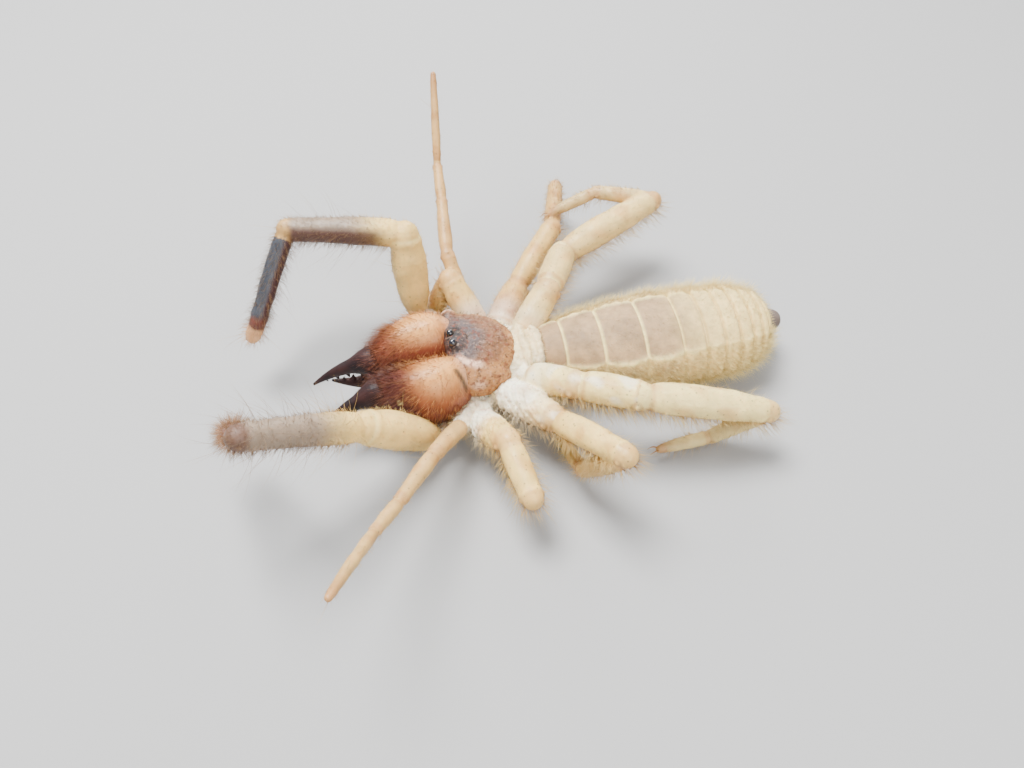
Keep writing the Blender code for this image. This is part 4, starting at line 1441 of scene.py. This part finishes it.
def build_bulb(side, label, material, coat_material):
    """One chelicera's swollen base, and bristles that radiate from its crown."""
    rows = []
    for share, width, top, bottom in BULB_ROWS:
        rows.append((BULB_START + BULB_LENGTH * share, BULB_HALF_WIDTH * width, top, bottom))
    stations = upright_stations(smooth_rows(rows, 5), 0.12, side * MIDLINE_GAP / 2.0)
    skin = extruded_form(f"chelicera_skin_{label}", stations, 48, HEAD_PLACE)
    apply_modifier(skin, "SUBSURF", levels=1, render_levels=1)
    smooth_shaded(skin)
    paint(skin, bulb_skin_colours)
    finish_piece(skin, material, "chelicera_cuticle", f"chelicera_{label}")
    ground = Ground(skin, drawn_out=True)
    share, around, height = bulb_axes(ground.points)
    away_from_midline = 0.15 + 0.85 * (1.0 - ramp(-around, 45.0, 75.0))
    density = 17.0 * ramp(share, 0.04, 0.2) * away_from_midline * (0.4 + 0.6 * ramp(height, 1.2, 2.6))
    density = density * (1.0 + 1.6 * ramp(share, 0.55, 0.85))
    chosen, roots = ground.pick(density)
    count = len(chosen)
    forward = np.array(heading_vector(HEAD_HEADING))
    crown = np.array(head_point(BULB_START + BULB_LENGTH * 0.3, side * BULB_HALF_WIDTH, 8.6))
    lie = unit(unit(roots - crown) + forward[None] * 0.7)
    reach = 0.7 + 0.9 * ramp(share[chosen], 0.3, 0.9) + 0.3 * ramp(-height[chosen], -7.5, -4.0)
    ahead, aside, _ = head_axes(roots)
    look = {
        "length": reach * RNG.uniform(0.5, 1.25, count),
        "width": 0.036,
        "lean": np.radians(RNG.uniform(25.0, 60.0, count)),
        "curl": 0.15,
        "pale": RNG.uniform(0.0, 1.0, count) * (1.0 - 0.8 * ramp(share[chosen], 0.5, 0.75)),
        "tip": GOLD * 1.2,
    }
    colours = blend(bulb_colours(roots), RUST, 0.35 * (1.0 - bulb_dark(roots)))
    outward = aside - side * BULB_HALF_WIDTH
    atlas = barrel_place(ahead, outward, height[chosen], BULB_MIDDLE, BULB_START, BULB_LENGTH)
    grow_bristles(
        f"chelicera_coat_{label}", coat_material, "chelicera_cuticle",
        roots, ground.normals[chosen], lie, atlas, colours, look,
    )


def finger_path(side, lower, count):
    """The upper finger curves down to its tip and the lower one curves up to meet it."""
    share = 0.74 if lower else 0.82
    start = head_point(BULB_START + BULB_LENGTH * share, side * 1.9, 3.0 if lower else 5.7)
    along = heading_vector(FINGER_HEADING)
    length = FINGER_LENGTH + (0.2 if lower else 1.3)
    points = []
    for i in range(count):
        share = i / (count - 1.0)
        if lower:
            height = -0.9 * math.sin(math.pi * share * 0.8) + 1.1 * share
        else:
            height = 0.5 * math.sin(math.pi * share * 0.7) - 2.6 * share ** 2
        spread = right_of(FINGER_HEADING) * side * 0.9 * share
        points.append(start + along * length * share + spread + UP * height)
    return points


def build_finger(side, label, lower, material):
    """A curved finger with a row of teeth along its facing edge."""
    count = 22
    path = finger_path(side, lower, count)
    radii = []
    for i in range(count):
        share = i / (count - 1.0)
        base = FINGER_SWELL * ramp(share, -0.06, 0.12) * (1.0 - ramp(share, 0.12, 0.5))
        radii.append(max(FINGER_RADIUS * (1.0 + base - 0.88 * share ** 1.25), 0.05))
    forms = [path_form(path, radii, 20, 1.15)]
    facing = UP if lower else -UP
    lean = heading_vector(FINGER_HEADING + 180.0)
    for i, tall in enumerate(TEETH_HEIGHTS):
        index = round((0.3 + 0.5 * i / (len(TEETH_HEIGHTS) - 1.0)) * (count - 1))
        thick = 0.3 if tall > 0.75 else 0.2
        root = path[index] + facing * radii[index] * 0.5
        steps = (0.0, 0.3, 0.6, 0.85, 1.0)
        line = [root + (facing + lean * 0.12 * step) * tall * step for step in steps]
        forms.append(path_form(line, [thick * size for size in (1.1, 0.95, 0.65, 0.35, 0.12)], 10))
    name = f"{'movable' if lower else 'fixed'}_finger_{label}_horn"
    finger = grow_together(name, forms, HORN_VOXEL, 2)
    nodes = [f"movable_finger_{label}"] if lower else []
    finish_piece(finger, material, "finger_horn", *nodes)


def build_head_plate(material, coat_material):
    rows = (
        (-0.3, 0.6, 7.2, 6.2),
        (0.1, 1.9, 7.6, 5.6),
        (1.3, 3.3, 8.25, 4.9),
        (3.0, 4.2, 8.75, 4.5),
        (4.8, 4.5, 9.05, 4.4),
        (5.9, 4.4, 8.95, 4.5),
        (6.5, 3.9, 8.6, 5.0),
        (6.75, 1.6, 8.1, 5.8),
    )
    level = upright_stations(smooth_rows(rows, 4))
    stations = [(*station[:3], PLATE_ASIDE, station[4]) for station in level]
    forms = [extruded_form("plate", stations, 48, HEAD_PLACE)]
    forms.append(round_form(head_point(5.6, 0.0, 8.75), (1.2, 1.4, 0.75)))
    forms.append(round_form(head_point(5.6, 3.9, 7.7), (1.0, 1.1, 0.9)))
    for side in (1.0, -1.0):
        forms.append(round_form(head_point(3.7, side * 3.1, 5.9), (2.85, 1.45, 1.95)))
    plate = grow_together("head_plate", forms, PLATE_VOXEL, 4)
    roughen(plate, 0.16, 0.6)
    _, ahead, aside, height = plate_axes(vertex_points(plate))
    lift(plate, 0.12 * lip_of(ahead, aside, height))
    paint(plate, plate_colours)
    finish_piece(plate, material, "head_plate", "propeltidium")
    ground = Ground(plate)
    reach, ahead, aside, height = plate_axes(ground.points)
    clear_of_eyes = ramp(np.hypot((ahead - EYE_AHEAD) / 1.1, aside / 1.4), 0.8, 1.2)
    chosen, roots = ground.pick(5.0 * clear_of_eyes * (0.5 + 0.5 * ramp(reach, 0.5, 0.9)))
    back = np.tile(np.array(heading_vector(HEAD_HEADING)) * -1.0, (len(chosen), 1))
    look = {
        "length": RNG.uniform(0.25, 0.7, len(chosen)),
        "width": 0.045,
        "lean": np.radians(RNG.uniform(5.0, 45.0, len(chosen))),
        "curl": 0.2,
        "pale": RNG.uniform(0.0, 0.7, len(chosen)) ** 2,
    }
    grow_bristles(
        "head_plate_coat", coat_material, "head_plate", roots, ground.normals[chosen], back,
        barrel_place(ahead[chosen], aside[chosen], height[chosen], 5.5, -0.5, 8.0),
        blend(plate_colours(roots), UMBER * 0.6, 0.6), look,
    )


def build_eyes(material):
    for side, label in ((1.0, "right"), (-1.0, "left")):
        deselect_all()
        bpy.ops.mesh.primitive_uv_sphere_add(segments=40, ring_count=24, radius=EYE_RADIUS)
        eye = bpy.context.object
        eye.name = f"eye_lens_{label}"
        centre = head_point(EYE_AHEAD, side * EYE_ASIDE, EYE_HEIGHT)
        move_mesh(eye, Matrix.Scale(MM, 4) @ Matrix.Translation(centre + SHIFT))
        finish_piece(smooth_shaded(eye), material, "eye", f"eye_{label}")


def build_claws(material):
    """Two slim curved claws at the tip of each walking leg."""
    forms = []
    for name in POSES:
        if not name.startswith(CLAWED):
            continue
        tarsus = limb_segments(name)[-1]
        for sign in (1.0, -1.0):
            points = []
            for i in range(9):
                share = i / 8.0
                point = tarsus.end + tarsus.along * (0.1 + 1.1 * share)
                point = point + tarsus.side * sign * (0.14 + 0.2 * math.sin(share * 1.7))
                points.append(point + UP * (0.3 * math.sin(math.pi * share) - 0.1 * share))
            forms.append(path_form(points, [0.11 * (1.0 - 0.85 * i / 8.0) for i in range(9)], 10))
    claws = smooth_shaded(join("claws", forms))
    press_to_floor(claws)
    paint(claws, one_colour(TAN * 0.6))
    finish_piece(claws, material, "finger_horn")


def build_rostrum(material):
    path = [head_point(5.6 + 5.2 * i / 10.0, 0.0, 1.9 - 0.9 * (i / 10.0) ** 1.5) for i in range(11)]
    radii = [0.9 * math.sqrt(1.0 - (i / 10.5) ** 2) * (1.0 - 0.4 * i / 10.0) for i in range(11)]
    beak = path_form(path, radii, 20)
    beak.name = "rostrum_beak"
    smooth_shaded(beak)
    paint(beak, one_colour(TAN))
    finish_piece(beak, material, "anal_plate", "rostrum")


def build_stage():
    """A plain pale floor and soft light."""
    deselect_all()
    bpy.ops.mesh.primitive_plane_add(size=6.0, location=(0.0, 0.0, 0.0))
    floor = bpy.context.object
    floor.name = "studio_floor"
    made, tree, shader = new_material("studio_floor")
    wire(tree, shader, Base_Color=FLOOR_COLOUR, Roughness=0.8)
    floor.data.materials.append(made)
    world = bpy.data.worlds.new("soft_studio")
    bpy.context.scene.world = world
    world.use_nodes = True
    background = world.node_tree.nodes["Background"]
    wire(world.node_tree, background, Color=SKY_COLOUR, Strength=SKY_STRENGTH)
    for name, place, size, power in LIGHTS:
        light = bpy.data.lights.new(name, "AREA")
        light.size = size
        light.energy = power
        lamp = bpy.data.objects.new(name, light)
        lamp.location = place
        lamp.rotation_euler = (-Vector(place)).to_track_quat("-Z", "Y").to_euler()
        bpy.context.scene.collection.objects.link(lamp)


def build_camera():
    pitch = math.radians(CAMERA_PITCH)
    back = Vector((0.0, -math.cos(pitch), math.sin(pitch))) * CAMERA_DISTANCE
    data = bpy.data.cameras.new("photo_camera")
    data.lens = CAMERA_LENS
    data.sensor_width = SENSOR
    data.clip_start = 0.005
    camera = bpy.data.objects.new("photo_camera", data)
    camera.location = (back + SHIFT) * MM
    camera.rotation_euler = (math.radians(90.0) - pitch, 0.0, 0.0)
    bpy.context.scene.collection.objects.link(camera)
    bpy.context.scene.camera = camera


leg_cuticle = cuticle_material("leg_cuticle", 0.35, 600.0, 0.5, 2500.0, 0.42, 0.06)
body_cuticle = cuticle_material("body_cuticle", 0.45, 1100.0, 0.1, 3200.0, 0.6, 0.08)
jaw_cuticle = cuticle_material("jaw_cuticle", 0.3, 1300.0, 0.25, 2800.0, 0.38, 0.06)
bristles = bristle_material()
horn = horn_material()

for label in ("right", "left"):
    build_limbs(label, leg_cuticle, bristles)
build_malleoli(leg_cuticle)
build_trunk(body_cuticle, bristles)
build_abdomen(body_cuticle, bristles)
build_anal_plate(body_cuticle)
for side, label in ((1.0, "right"), (-1.0, "left")):
    build_bulb(side, label, jaw_cuticle, bristles)
    build_finger(side, label, True, horn)
    build_finger(side, label, False, horn)
build_head_plate(plate_material(), bristles)
build_eyes(eye_material())
build_claws(leg_cuticle)
build_rostrum(body_cuticle)
build_stage()
build_camera()
